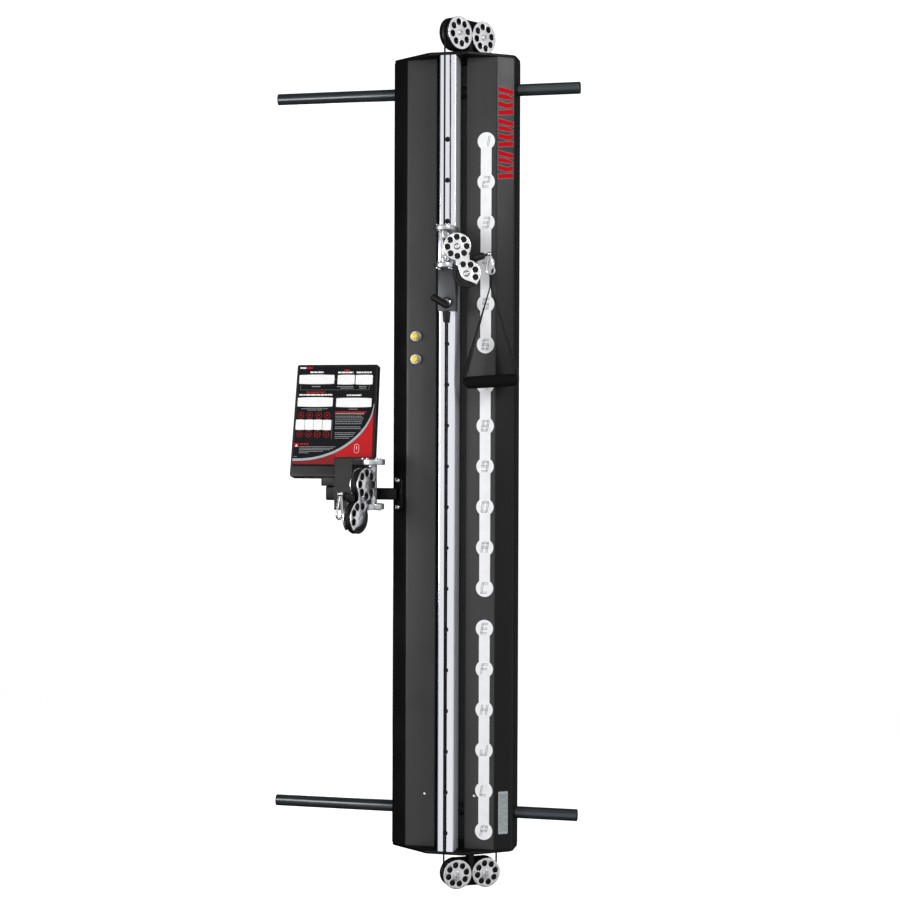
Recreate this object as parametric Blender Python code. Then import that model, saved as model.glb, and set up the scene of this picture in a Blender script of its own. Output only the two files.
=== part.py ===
"""Single-column cable crossover station, hung between two cross bars.

Frame: X to the user's right, -Y towards the user, +Z up.
The origin is the centre of the back plate's rear face.
"""
import math

import bmesh
import bpy
from mathutils import Matrix, Vector

GAP = 0.0003

# column
HALF_HEIGHT = 1.060
CAP_THICK = 0.008
SHEET = 0.002
BACK_THICK = 0.003
HALF_WIDTH = 0.166
PANEL_HALF = 0.121
RECESS_HALF = 0.040
SIDE_FRONT = -0.074
PANEL_FRONT = -0.102
RETURN_BACK = -0.076
CAP_NOSE_HALF = 0.051
CAP_FRONT = -0.1525
BODY_TOP = HALF_HEIGHT - CAP_THICK - GAP

# rail
RAIL_HALF = 0.0225
RAIL_FRONT = -0.151
RAIL_BACK = -0.091
RAIL_WALL = 0.003
HOLE_COUNT = 18
HOLE_PITCH = 0.1078
HOLE_TOP = 0.8296
HOLE_RADIUS = 0.0065

# cross bars
BAR_RADIUS = 0.0160
BAR_WALL = 0.004
BAR_Y = -0.022
BAR_LEFT = -0.5105
BAR_RIGHT = 0.3325
BAR_Z = {"upper": 0.9766, "lower": -0.9651}

# carriage
PIN_HOLE = 5
PIN_Z = HOLE_TOP - (PIN_HOLE - 1) * HOLE_PITCH
SWIVEL = Vector((0.0, -0.186, 0.543))
FLANGE_GAP_HALF = 0.0424
FLANGE_THICK = 0.0125
NOSE_RADIUS = 0.0290
LOWER_NOSE_RADIUS = 0.0272
WHEEL_RELIEF = 0.0246
FLANGE_BACK = -0.132
SLEEVE_HALF = 0.0248
SLEEVE_FRONT = -0.1565
SLEEVE_Z = (0.3766, 0.4878)
BLOCK_FRONT = -0.1665
TEE_Y = -0.212
TEE_LENGTH = 0.050
TEE_RADIUS = 0.0083
TEE_TILT = math.radians(32)

# pulley head, in its own frame: x towards the cable exit, z up
HEAD_TURN = math.radians(103)
HEAD_HALF_THICK = 0.0110
PLATE_THICK = 0.0035
SHEAVE_HALF = 0.0068
SHEAVE_RADIUS = 0.0356
CABLE_RADIUS = 0.0024
CORD_PITCH = 0.0340
DISC_RADIUS = 0.0360
LOBE_RADIUS = 0.0372
UPPER_AXLE = (0.0340, 0.0)
LOWER_AXLE = (0.0585, -0.0708)
EXIT_TILT = math.radians(16)
AXLE_RADIUS = 0.004
STOP_START = 0.077
STOP_LENGTH = 0.032
STOP_RADIUS = 0.0098
EXIT_X = 0.0491
EYE_DISTANCE = 0.121
BALL_RADIUS = 0.0062
HOOK_HALF = 0.0105
HOOK_WIRE = 0.0026
HOOK_DROP = 0.0430
HOOK_LEAN = 0.0035
HOOK_NECK = 0.0075
HOOK_SMALL = 0.0035
GATE_GAP = 0.0008
GATE_TOP = 0.0014

# second head, on the console arm
ARM_HEAD_SCALE = 1.2
ARM_SWIVEL = Vector((-0.187, -0.212, -0.080))
ARM_HEAD_TURN = math.radians(-19)
ARM_NOSE_TURN = math.radians(40)
ARM_FLANGE_REACH = 0.050
ARM_POST_LEFT = -0.296
ARM_POST_BACK = -0.138

# pulley stations
STATION_DISC = {"top": 0.0432, "bottom": 0.0386}
STATION_PITCH = {"top": 0.040, "bottom": 0.033}
STATION_SPREAD = {"top": 0.0885, "bottom": 0.0800}
STATION_TURN = {"top": math.radians(147), "bottom": math.radians(120)}
STATION_Z = {"top": 1.1066, "bottom": -1.1086}
STATION_HALF_THICK = 0.0175
STATION_PLATE = 0.004

# cables on the rail
LOWER_CABLE = (-0.001, -0.1612)
BOOT_Z = (0.3466, 0.3763)

# console
CONSOLE_TILT = math.radians(11)
CONSOLE_TOP_WIDTH = 0.229
CONSOLE_BOTTOM_WIDTH = 0.236
CONSOLE_HEIGHT = 0.312
CONSOLE_THICK = 0.026
CONSOLE_CENTRE = Vector((-0.323, -0.090, 0.0855))
NECK_HALF = 0.033
OVERLAY_THICK = 0.0012
ARM_Y = -0.092
ARM_Z = -0.109
ARM_HALF = 0.0155
ARM_LEFT = -0.345

# buttons
BUTTON_X = -0.0957
BUTTON_Z = {"upper": 0.3136, "lower": 0.2522}
COLLAR_PROFILE = [
    (0.0095, -0.012),
    (0.0108, -0.012),
    (0.0108, GAP),
    (0.0150, GAP),
    (0.0150, 0.006),
    (0.0125, 0.010),
    (0.0118, 0.016),
    (0.0095, 0.016),
]
BUTTON_PROFILE = [(0.0, -0.006), (0.0092, -0.006), (0.0092, 0.023), (0.0078, 0.025), (0.0, 0.0255)]

# inside
RAM_X = 0.0916
RAM_Y = -0.045
CYLINDER_Z = (-0.900, 0.100)
ROD_TOP = 0.560

COLOURS = {
    "black_paint": ((0.020, 0.020, 0.022), 0.55, 0.0),
    "dark_paint": ((0.045, 0.045, 0.047), 0.50, 0.0),
    "chrome": ((0.80, 0.80, 0.82), 0.08, 1.0),
    "aluminium": ((0.72, 0.72, 0.74), 0.28, 1.0),
    "grey_paint": ((0.085, 0.088, 0.094), 0.45, 0.2),
    "black_plastic": ((0.016, 0.016, 0.017), 0.50, 0.0),
    "cable": ((0.012, 0.012, 0.012), 0.45, 0.0),
    "steel": ((0.60, 0.60, 0.62), 0.25, 1.0),
    "bar_paint": ((0.035, 0.042, 0.048), 0.30, 0.3),
    "webbing": ((0.012, 0.012, 0.013), 0.85, 0.0),
    "foam": ((0.015, 0.015, 0.016), 0.80, 0.0),
    "yellow": ((0.80, 0.62, 0.02), 0.40, 0.0),
    "overlay": ((0.040, 0.042, 0.044), 0.35, 0.0),
}


def clear_scene():
    for obj in list(bpy.data.objects):
        bpy.data.objects.remove(obj, do_unlink=True)


def material(node, key):
    colour, rough, metal = COLOURS[key]
    mat = bpy.data.materials.new(f"{node}_{key}")
    mat.use_nodes = True
    shader = mat.node_tree.nodes["Principled BSDF"]
    shader.inputs["Base Color"].default_value = (*colour, 1.0)
    shader.inputs["Roughness"].default_value = rough
    shader.inputs["Metallic"].default_value = metal
    return mat


def add_object(name, mesh, key, frame=None, parent=None):
    """Places a mesh as one named piece; frame is its world matrix."""
    obj = bpy.data.objects.new(name, mesh)
    bpy.context.scene.collection.objects.link(obj)
    obj.data.materials.append(material(name, key))
    matrix = frame or Matrix()
    if parent is not None:
        obj.parent = parent
        obj.matrix_parent_inverse = parent.matrix_world.inverted()
    obj.matrix_world = matrix
    return obj


def pivot(name, matrix):
    """An empty on a joint's axis."""
    empty = bpy.data.objects.new(name, None)
    bpy.context.scene.collection.objects.link(empty)
    empty.matrix_world = matrix
    bpy.context.view_layer.update()
    return empty


def smooth(mesh, degrees=35):
    mesh.shade_smooth()
    mesh.set_sharp_from_angle(angle=math.radians(degrees))
    return mesh


def finish_mesh(bm, name):
    bmesh.ops.remove_doubles(bm, verts=bm.verts, dist=1e-6)
    bmesh.ops.recalc_face_normals(bm, faces=bm.faces)
    mesh = bpy.data.meshes.new(name)
    bm.to_mesh(mesh)
    bm.free()
    return mesh


def circle_points(centre, radius, count, start=0.0):
    step = 2 * math.pi / count
    return [
        (centre[0] + radius * math.cos(start + i * step), centre[1] + radius * math.sin(start + i * step))
        for i in range(count)
    ]


def arc_points(centre, radius, start, end, count):
    """Points along an arc, angles in degrees."""
    turn = [math.radians(start + (end - start) * i / count) for i in range(count + 1)]
    return [(centre[0] + radius * math.cos(t), centre[1] + radius * math.sin(t)) for t in turn]


def slab(name, outline, low, high, holes=()):
    """A plate: an outline in the local XY plane, with holes, from z = low to z = high."""
    bm = bmesh.new()
    edges = []
    for loop in (outline, *holes):
        verts = [bm.verts.new((x, y, low)) for x, y in loop]
        edges += [bm.edges.new((verts[i - 1], verts[i])) for i in range(len(verts))]
    bmesh.ops.triangle_fill(bm, use_beauty=True, edges=edges, normal=(0, 0, -1))
    grown = bmesh.ops.extrude_face_region(bm, geom=list(bm.faces))
    top = [v for v in grown["geom"] if isinstance(v, bmesh.types.BMVert)]
    bmesh.ops.translate(bm, verts=top, vec=(0, 0, high - low))
    return finish_mesh(bm, name)


def turned(name, profile, segments=20):
    """A solid of revolution about local Z from a closed profile of (radius, z)."""
    bm = bmesh.new()
    verts = [bm.verts.new((r, 0, z)) for r, z in profile]
    edges = [bm.edges.new((verts[i - 1], verts[i])) for i in range(len(verts))]
    edges = [e for e in edges if e.verts[0].co.x > 1e-7 or e.verts[1].co.x > 1e-7]
    bmesh.ops.spin(
        bm,
        geom=verts + edges,
        cent=(0, 0, 0),
        axis=(0, 0, 1),
        angle=2 * math.pi,
        steps=segments,
        use_merge=True,
    )
    loose = [e for e in bm.edges if not e.link_faces]
    bmesh.ops.delete(bm, geom=loose, context="EDGES")
    return smooth(finish_mesh(bm, name))


def block(name, low, high):
    """A box between two corners."""
    bm = bmesh.new()
    size = [h - l for l, h in zip(low, high)]
    centre = [(h + l) / 2 for l, h in zip(low, high)]
    matrix = Matrix.Translation(centre) @ Matrix.Diagonal((*size, 1.0))
    bmesh.ops.create_cube(bm, size=1.0, matrix=matrix)
    return finish_mesh(bm, name)


def tube(name, points, radius, key, parent=None):
    """A round cable along a list of points."""
    curve = bpy.data.curves.new(name, "CURVE")
    curve.dimensions = "3D"
    curve.bevel_depth = radius
    curve.bevel_resolution = 2
    curve.use_fill_caps = True
    line = curve.splines.new("POLY")
    line.points.add(len(points) - 1)
    for spot, target in zip(line.points, points):
        spot.co = (*target, 1.0)
    obj = bpy.data.objects.new(name, curve)
    bpy.context.scene.collection.objects.link(obj)
    obj.data.materials.append(material(name, key))
    if parent is not None:
        obj.parent = parent
        obj.matrix_parent_inverse = parent.matrix_world.inverted()
    return obj


def cutter(name, mesh, frame=None):
    obj = bpy.data.objects.new(name, mesh)
    bpy.context.scene.collection.objects.link(obj)
    obj.matrix_world = frame or Matrix()
    obj.hide_render = True
    obj.display_type = "WIRE"
    return obj


def boolean(obj, tool, operation="DIFFERENCE"):
    mod = obj.modifiers.new(tool.name, "BOOLEAN")
    mod.object = tool
    mod.operation = operation
    mod.solver = "EXACT"
    return mod


def bevel(obj, width, segments=2, angle=40):
    mod = obj.modifiers.new("edge", "BEVEL")
    mod.width = width
    mod.segments = segments
    mod.limit_method = "ANGLE"
    mod.angle_limit = math.radians(angle)
    return mod


def along(direction, at):
    """A frame at a point whose local Z runs along a direction."""
    return Matrix.Translation(at) @ Vector(direction).to_track_quat("Z", "Y").to_matrix().to_4x4()


def cylinder_profile(radius, low, high, edge=0.0, bore=0.0):
    if edge:
        outer = [(radius - edge, low), (radius, low + edge), (radius, high - edge), (radius - edge, high)]
    else:
        outer = [(radius, low), (radius, high)]
    return [(bore, low), *outer, (bore, high)]


def offset_line(points, distance):
    """The same open line moved sideways, with mitred corners."""
    moved = []
    for i, point in enumerate(points):
        here = Vector(point)
        before = Vector(points[i - 1]) if i else None
        after = Vector(points[i + 1]) if i + 1 < len(points) else None
        sides = []
        if before is not None:
            sides.append((here - before).normalized())
        if after is not None:
            sides.append((after - here).normalized())
        normals = [Vector((-s.y, s.x)) for s in sides]
        mean = sum(normals, Vector((0, 0))).normalized()
        moved.append(tuple(here + mean * distance / mean.dot(normals[0])))
    return moved


# ---------------------------------------------------------------- column


def side_shell(name, side):
    """Folded sheet: side wall, chamfer, front panel and the return into the recess."""
    line = [
        (HALF_WIDTH, -BACK_THICK - GAP),
        (HALF_WIDTH, SIDE_FRONT),
        (PANEL_HALF, PANEL_FRONT),
        (RECESS_HALF, PANEL_FRONT),
        (RECESS_HALF, RETURN_BACK),
    ]
    inner = offset_line(line, -SHEET)
    outline = [(side * x, y) for x, y in line + inner[::-1]]
    obj = add_object(name, slab(name, outline, -BODY_TOP, BODY_TOP), "dark_paint")
    for level, z in BAR_Z.items():
        hole = slab(f"{name}_{level}", circle_points((0, 0), BAR_RADIUS + GAP, 16), -0.02, 0.02)
        frame = along((1, 0, 0), (side * HALF_WIDTH, BAR_Y, z))
        boolean(obj, cutter(f"cut_{name}_{level}", hole, frame))
    if side < 0:
        for level, z in BUTTON_Z.items():
            hole = slab(f"{name}_button_{level}", circle_points((0, 0), 0.0113, 16), -0.01, 0.01)
            frame = along((0, -1, 0), (BUTTON_X, PANEL_FRONT, z))
            boolean(obj, cutter(f"cut_{name}_button_{level}", hole, frame))
    return obj


def cap_outline():
    right = [
        (CAP_NOSE_HALF, CAP_FRONT),
        (HALF_WIDTH, SIDE_FRONT),
        (HALF_WIDTH, 0.0),
    ]
    return right + [(-x, y) for x, y in right[::-1]]


def end_cap(name, low, cable_hole):
    hole = circle_points(cable_hole, 0.006, 12)
    mesh = slab(name, cap_outline(), low, low + CAP_THICK, [hole])
    return add_object(name, mesh, "black_paint")


def rail():
    """Square chrome tube, with its selector holes in the front wall."""
    outer = [
        (-RAIL_HALF, RAIL_FRONT),
        (RAIL_HALF, RAIL_FRONT),
        (RAIL_HALF, RAIL_BACK),
        (-RAIL_HALF, RAIL_BACK),
    ]
    half = RAIL_HALF - RAIL_WALL
    front = RAIL_FRONT + RAIL_WALL
    back = RAIL_BACK - RAIL_WALL
    inner = [(-half, front), (half, front), (half, back), (-half, back)]
    obj = add_object("rail", slab("rail", outer, -BODY_TOP, BODY_TOP, [inner]), "chrome")
    bm = bmesh.new()
    for i in range(HOLE_COUNT):
        frame = along((0, -1, 0), (0, RAIL_FRONT, HOLE_TOP - i * HOLE_PITCH))
        bmesh.ops.create_cone(
            bm, cap_ends=True, segments=8, radius1=HOLE_RADIUS, radius2=HOLE_RADIUS, depth=0.016, matrix=frame
        )
    boolean(obj, cutter("cut_rail_holes", finish_mesh(bm, "rail_holes")))
    return obj


def column():
    plate = block("back_plate", (-HALF_WIDTH, -BACK_THICK, -BODY_TOP), (HALF_WIDTH, 0, BODY_TOP))
    add_object("back_plate", plate, "black_paint")
    side_shell("left_shell", -1)
    side_shell("right_shell", 1)
    rail()
    end_cap("top_cap", HALF_HEIGHT - CAP_THICK, station_points("top")[3])
    end_cap("bottom_cap", -HALF_HEIGHT, station_points("bottom")[3])


def cross_bar(level):
    length = BAR_RIGHT - BAR_LEFT
    profile = cylinder_profile(BAR_RADIUS, 0, length, 0.001, BAR_RADIUS - BAR_WALL)
    mesh = turned(f"{level}_cross_bar", profile, 28)
    frame = along((1, 0, 0), (BAR_LEFT, BAR_Y, BAR_Z[level]))
    add_object(f"{level}_cross_bar", mesh, "bar_paint", frame)


# ---------------------------------------------------------------- pulleys


def sheave_mesh(name, radius, half, groove, bore, cable):
    """Grooved wheel about local Z; the groove's floor is as wide as the cable."""
    lip = half * 0.75
    floor = cable + 0.0004
    profile = [
        (bore, -half),
        (radius - 0.001, -half),
        (radius, -lip),
        (groove, -floor),
        (groove, floor),
        (radius, lip),
        (radius - 0.001, half),
        (bore, half),
    ]
    return turned(name, profile)


def station_points(level):
    """Plan positions: rail cable, first wheel, second wheel, inner cable."""
    turn = STATION_TURN[level]
    run = Vector((math.sin(turn), -math.cos(turn)))
    start = Vector((SWIVEL.x, SWIVEL.y)) if level == "top" else Vector(LOWER_CABLE)
    first = start + run * STATION_PITCH[level]
    second = first + run * STATION_SPREAD[level]
    return start, first, second, second + run * STATION_PITCH[level]


def station_frame(level, at):
    """Local X along the pulley pair, local Y up, local Z towards the user's side."""
    turn = STATION_TURN[level]
    run = Vector((math.sin(turn), -math.cos(turn), 0))
    up = Vector((0, 0, 1))
    face = run.cross(up)
    matrix = Matrix((run, up, face)).transposed().to_4x4()
    return Matrix.Translation((at[0], at[1], STATION_Z[level])) @ matrix


def guard(level, which, at):
    """Outer disc with lightening holes, and the axle bolt on its back."""
    name = f"{level}_{which}_guard"
    radius = STATION_DISC[level]
    holes = [circle_points(c, radius * 0.20, 6) for c in circle_points((0, 0), radius * 0.65, 8)]
    outer = STATION_HALF_THICK
    mesh = slab(name, circle_points((0, 0), radius, 24), outer - STATION_PLATE, outer, holes)
    obj = add_object(name, smooth(mesh), "aluminium", station_frame(level, at))
    reach = STATION_HALF_THICK - STATION_PLATE - GAP
    bolt = turned(f"{name}_bolt", cylinder_profile(AXLE_RADIUS, -reach, outer + 0.003), 12)
    boolean(obj, cutter(f"add_{name}", bolt, station_frame(level, at)), "UNION")


def bracket(level, first, second):
    """Inner plate behind both wheels, with a foot on the end cap."""
    name = f"{level}_bracket"
    radius = STATION_DISC[level]
    gap = (Vector(second) - Vector(first)).length
    outline = arc_points((0, 0), radius, 90, 270, 12) + arc_points((gap, 0), radius, -90, 90, 12)
    inner = -STATION_HALF_THICK
    mesh = slab(name, outline, inner, inner + STATION_PLATE)
    frame = station_frame(level, first)
    obj = add_object(name, mesh, "black_paint", frame)
    sign = -1 if level == "top" else 1
    cap = sign * (abs(STATION_Z[level]) - HALF_HEIGHT - GAP)
    waist = sorted((cap, cap - sign * 0.045))
    web = block(f"{name}_web", (gap / 2 - 0.007, waist[0], inner + 0.001), (gap / 2 + 0.007, waist[1], 0.012))
    boolean(obj, cutter(f"add_{name}_web", web, frame), "UNION")
    for i, x in enumerate((0.0, gap)):
        room = turned(f"{name}_room{i}", cylinder_profile(radius + 0.0008, inner + STATION_PLATE, 0.03), 24)
        boolean(obj, cutter(f"cut_{name}_room{i}", room, frame @ Matrix.Translation((x, 0, 0))))
    return obj


def station(level):
    start, first, second, drop = station_points(level)
    groove = STATION_PITCH[level] - CABLE_RADIUS - GAP
    half = STATION_HALF_THICK - STATION_PLATE - GAP
    bracket(level, first, second)
    for which, at in (("front", first), ("rear", second)):
        guard(level, which, at)
        name = f"{level}_{which}_sheave"
        radius = STATION_DISC[level] - 0.0008
        mesh = sheave_mesh(name, radius, half - 0.001, groove, AXLE_RADIUS + GAP, CABLE_RADIUS)
        add_object(name, mesh, "black_plastic", station_frame(level, at))
    cable_bend(level, start, first, second, drop)


def cable_bend(level, start, first, second, drop):
    """The cable over (or under) both wheels and into the column."""
    sign = 1 if level == "top" else -1
    pitch = STATION_PITCH[level]
    centre = STATION_Z[level]
    run = (first - start).normalized()
    route = [(start.x, start.y, centre - sign * 0.002)]
    for i in range(7):
        t = math.pi - math.pi / 2 * i / 6
        spot = first + run * pitch * math.cos(t)
        route.append((spot.x, spot.y, centre + sign * pitch * math.sin(t)))
    for i in range(7):
        t = math.pi / 2 * (1 - i / 6)
        spot = second + run * pitch * math.cos(t)
        route.append((spot.x, spot.y, centre + sign * pitch * math.sin(t)))
    route.append((drop.x, drop.y, sign * (HALF_HEIGHT - 0.060) if level == "top" else CYLINDER_Z[0] - GAP))
    tube(f"{level}_cable_bend", route, CABLE_RADIUS, "cable")


# ---------------------------------------------------------------- pulley heads


def head_frame(swivel, turn):
    """Local X towards the cable exit, local Z up."""
    return Matrix.Translation(swivel) @ Matrix.Rotation(turn - math.pi / 2, 4, "Z")


def plate_frame(frame, offset=0.0):
    """Turns a plate drawn in local XY so that it stands in the head's XZ plane."""
    return frame @ Matrix.Translation((0, offset, 0)) @ Matrix.Rotation(math.pi / 2, 4, "X")


def head_plate_outline(s):
    """Upper disc running into the lower lobe, whose inner side is cut back."""
    upper = arc_points(UPPER_AXLE, DISC_RADIUS, -33, 264, 24)
    lower_left = [(0.0308, -0.0475), (0.0360, -0.0520), (0.0410, -0.0660), (0.0440, -0.0780)]
    foot = [(0.0540, -0.0868), (0.0680, -0.0910), (0.0850, -0.0980)]
    right = arc_points(LOWER_AXLE, LOBE_RADIUS, -35, 78, 10)
    return [(x * s, z * s) for x, z in upper + lower_left + foot + right]


def head_plate(prefix, side, frame, parent, s):
    """One cheek of the head: side -1 carries the axle bolts."""
    name = f"{prefix}_{'front' if side < 0 else 'rear'}_plate"
    upper_holes = circle_points(UPPER_AXLE, 0.0250, 8, math.radians(2))
    lower_holes = [arc_points(LOWER_AXLE, 0.0256, a, a, 1)[0] for a in (110, 65, 24, -21)]
    holes = [circle_points((x * s, z * s), 0.0070 * s, 6) for x, z in upper_holes + lower_holes]
    inner = (HEAD_HALF_THICK - PLATE_THICK) * s
    outer = HEAD_HALF_THICK * s
    low, high = (inner, outer) if side < 0 else (-outer, -inner)
    matrix = plate_frame(frame)
    mesh = smooth(slab(name, head_plate_outline(s), low, high, holes))
    obj = add_object(name, mesh, "aluminium", matrix, parent)
    if side < 0:
        for label, (x, z) in (("upper", UPPER_AXLE), ("lower", LOWER_AXLE)):
            span = cylinder_profile(AXLE_RADIUS * s, -inner + GAP, outer + 0.002 * s)
            place = matrix @ Matrix.Translation((x * s, z * s, 0))
            boolean(obj, cutter(f"add_{name}_{label}", turned(f"{name}_{label}", span, 12), place), "UNION")
    return obj


def head_yoke(prefix, frame, parent, s):
    """C-shaped swivel piece between the two flanges; the cable runs down its axis."""
    name = f"{prefix}_yoke"
    top = FLANGE_GAP_HALF * s - GAP
    knuckle = 0.0385 * s
    outline = [
        (-0.013 * s, -top),
        (0.013 * s, -top),
        (0.013 * s, -knuckle),
        (-0.006 * s, -0.026 * s),
        (-0.006 * s, 0.026 * s),
        (0.013 * s, knuckle),
        (0.013 * s, top),
        (-0.013 * s, top),
    ]
    half = (HEAD_HALF_THICK - PLATE_THICK) * s - GAP
    obj = add_object(name, slab(name, outline, -half, half), "aluminium", plate_frame(frame), parent)
    bore = turned(f"{name}_bore", cylinder_profile(0.0035 * s, -0.06 * s, 0.06 * s), 10)
    boolean(obj, cutter(f"cut_{name}_bore", bore, frame))
    return obj


def head_route():
    """Cable from the swivel axis round the upper wheel and over the lower one to the exit."""
    upper = Vector(UPPER_AXLE)
    lower = Vector(LOWER_AXLE)
    route = [(0.0, FLANGE_GAP_HALF - GAP), (0.0, 0.012)]
    route += arc_points(upper, CORD_PITCH, 180, 286, 10)
    route += arc_points(lower, CORD_PITCH, 118, 90 + math.degrees(EXIT_TILT), 2)
    exit_dir = Vector((math.cos(EXIT_TILT), math.sin(EXIT_TILT)))
    return route, Vector(route[-1]), exit_dir


def pull_frame(frame, s):
    """Local Z along the cable where it leaves the head, from the tangent point."""
    _, tangent, exit_dir = head_route()
    at = frame @ Vector((tangent.x * s, 0, tangent.y * s))
    direction = frame.to_3x3() @ Vector((exit_dir.x, 0, exit_dir.y))
    side = frame.to_3x3() @ Vector((0, 1, 0))
    basis = Matrix((side, direction.cross(side), direction)).transposed().to_4x4()
    return Matrix.Translation(at) @ basis


def cable_stop(prefix, frame, parent, s):
    """Rubber stop on the cable's end, with the neck that the hook's ball sits on."""
    name = f"{prefix}_stop"
    begin = (STOP_START - EXIT_X) * s
    end = begin + STOP_LENGTH * s
    radius = STOP_RADIUS * s
    neck = 0.0035 * s
    profile = [
        (0.0, begin),
        (radius * 0.8, begin),
        (radius, begin + 0.003 * s),
        (radius, end - 0.007 * s),
        (radius * 0.6, end),
        (neck, end),
        (neck, (EYE_DISTANCE - EXIT_X - BALL_RADIUS) * s - GAP),
        (0.0, (EYE_DISTANCE - EXIT_X - BALL_RADIUS) * s - GAP),
    ]
    add_object(name, turned(name, profile, 16), "black_plastic", pull_frame(frame, s), parent)


def wire_tube(name, points, radius, closed, segments=8):
    """A round wire along points in the local XY plane, either a closed loop or with flat ends."""
    bm = bmesh.new()
    rings = []
    last = len(points) - 1
    for i, point in enumerate(points):
        here = Vector(point)
        ahead = Vector(points[(i + 1) % (last + 1)]) if closed or i < last else here
        behind = Vector(points[i - 1]) if closed or i else here
        tangent = (ahead - behind).normalized()
        normal = Vector((-tangent.y, tangent.x))
        ring = []
        for k in range(segments):
            t = 2 * math.pi * k / segments
            spot = here + normal * radius * math.cos(t)
            ring.append(bm.verts.new((spot.x, spot.y, radius * math.sin(t))))
        rings.append(ring)
    pairs = list(zip(rings, rings[1:]))
    if closed:
        pairs.append((rings[-1], rings[0]))
    for a, b in pairs:
        for k in range(segments):
            n = (k + 1) % segments
            bm.faces.new((a[k], a[n], b[n], b[k]))
    if not closed:
        bm.faces.new(rings[0])
        bm.faces.new(rings[-1][::-1])
    return smooth(finish_mesh(bm, name), 60)


def hook_ends(s):
    """Centres of the hook's small upper arc and its large lower arc."""
    eye = hook_eye(s)
    top = (eye[0], eye[1] - HOOK_NECK * s)
    bottom = (eye[0] + HOOK_LEAN * s, eye[1] - HOOK_DROP * s)
    return top, bottom


def snap_hook(prefix, frame, parent, s, closed):
    """Pear-shaped snap hook below its swivel ball; the gate closes an open one."""
    name = f"{prefix}_hook"
    eye = hook_eye(s)
    top, bottom = hook_ends(s)
    loop = arc_points(top, HOOK_SMALL * s, 20, 160, 4) + arc_points(bottom, HOOK_HALF * s, 170, 370, 10)
    mesh = wire_tube(name, loop, HOOK_WIRE * s, closed)
    obj = add_object(name, mesh, "steel", plate_frame(frame), parent)
    ball = bmesh.new()
    bmesh.ops.create_uvsphere(ball, u_segments=12, v_segments=8, radius=BALL_RADIUS * s)
    place = frame @ Matrix.Translation((eye[0], 0, eye[1]))
    boolean(obj, cutter(f"add_{name}_ball", finish_mesh(ball, f"{name}_ball"), place), "UNION")


def hook_eye(s):
    """The hook's hanging point in the head's XZ plane."""
    _, tangent, exit_dir = head_route()
    spot = tangent + exit_dir * (EYE_DISTANCE - EXIT_X)
    return spot.x * s, spot.y * s


def head(prefix, swivel, turn, s, closed):
    frame = head_frame(swivel, turn)
    axis = pivot(f"{prefix}_swivel_axis", frame)
    head_yoke(prefix, frame, axis, s)
    for side in (-1, 1):
        head_plate(prefix, side, frame, axis, s)
    for label, (x, z) in (("upper", UPPER_AXLE), ("lower", LOWER_AXLE)):
        name = f"{prefix}_{label}_sheave"
        groove = (CORD_PITCH - CABLE_RADIUS) * s - GAP
        bore = AXLE_RADIUS * s + GAP
        mesh = sheave_mesh(name, SHEAVE_RADIUS * s, SHEAVE_HALF * s, groove, bore, CABLE_RADIUS * s)
        place = plate_frame(frame) @ Matrix.Translation((x * s, z * s, 0))
        add_object(name, mesh, "black_plastic", place, axis)
    cable_stop(prefix, frame, axis, s)
    snap_hook(prefix, frame, axis, s, closed)
    return frame, axis


# ---------------------------------------------------------------- handle


def head_cable(frame, axis):
    """The cable inside the main head, from the swivel axis to the exit."""
    route, _, _ = head_route()
    points = [frame @ Vector((x, 0, z)) for x, z in route]
    tube("head_cable", points, CABLE_RADIUS, "cable", axis)


def handle(frame, axis):
    """Webbing strap from the hook down to the grip."""
    eye = hook_eye(1.0)
    centre_x = eye[0] + HOOK_LEAN
    top_z = eye[1] - HOOK_DROP - HOOK_HALF - HOOK_WIRE - GAP
    left = (0.0580, -0.3560)
    right = (0.1900, -0.3475)
    centre = ((left[0] + right[0]) / 2, (left[1] + right[1]) / 2)
    outline = [
        (centre_x - 0.006, top_z),
        (centre_x + 0.006, top_z),
        (right[0] + 0.006, right[1] + 0.020),
        (right[0] + 0.006, right[1] - 0.004),
        (right[0] + 0.0035, right[1] - 0.004),
        (right[0] + 0.0035, right[1] + 0.019),
        (centre_x, top_z - 0.030),
        (left[0] - 0.0035, left[1] + 0.019),
        (left[0] - 0.0035, left[1] - 0.004),
        (left[0] - 0.006, left[1] - 0.004),
        (left[0] - 0.006, left[1] + 0.020),
    ]
    strap = slab("handle_strap", outline, -0.0125, 0.0125)
    strap_obj = add_object("handle_strap", strap, "webbing", plate_frame(frame), axis)
    direction = Vector((right[0] - left[0], 0, right[1] - left[1]))
    lean = direction.to_track_quat("Z", "Y").to_matrix().to_4x4()
    place = frame @ Matrix.Translation((centre[0], 0, centre[1])) @ lean
    half = direction.length / 2
    rod = turned("strap_rod", cylinder_profile(0.008, -half - 0.0045, half + 0.0045), 12)
    boolean(strap_obj, cutter("add_strap_rod", rod, place), "UNION")
    grip = turned("handle_grip", cylinder_profile(0.0165, -half + 0.001, half - 0.001, 0.003, 0.0084), 20)
    add_object("handle_grip", grip, "foam", place, axis)


def hook_gate(frame, axis):
    """Spring gate that closes the hook's open side, hinged at its upper end."""
    top, bottom = hook_ends(1.0)
    upper = Vector(arc_points(top, HOOK_SMALL, 20, 20, 1)[0])
    lower = Vector(arc_points(bottom, HOOK_HALF, 370, 370, 1)[0])
    run = lower - upper
    mesh = turned("hook_gate", cylinder_profile(0.0020, GATE_TOP, run.length - GATE_GAP), 8)
    direction = frame.to_3x3() @ Vector((run.x, 0, run.y))
    place = along(direction, frame @ Vector((upper.x, 0, upper.y)))
    add_object("hook_gate", mesh, "steel", place, axis)


# ---------------------------------------------------------------- carriage


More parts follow.
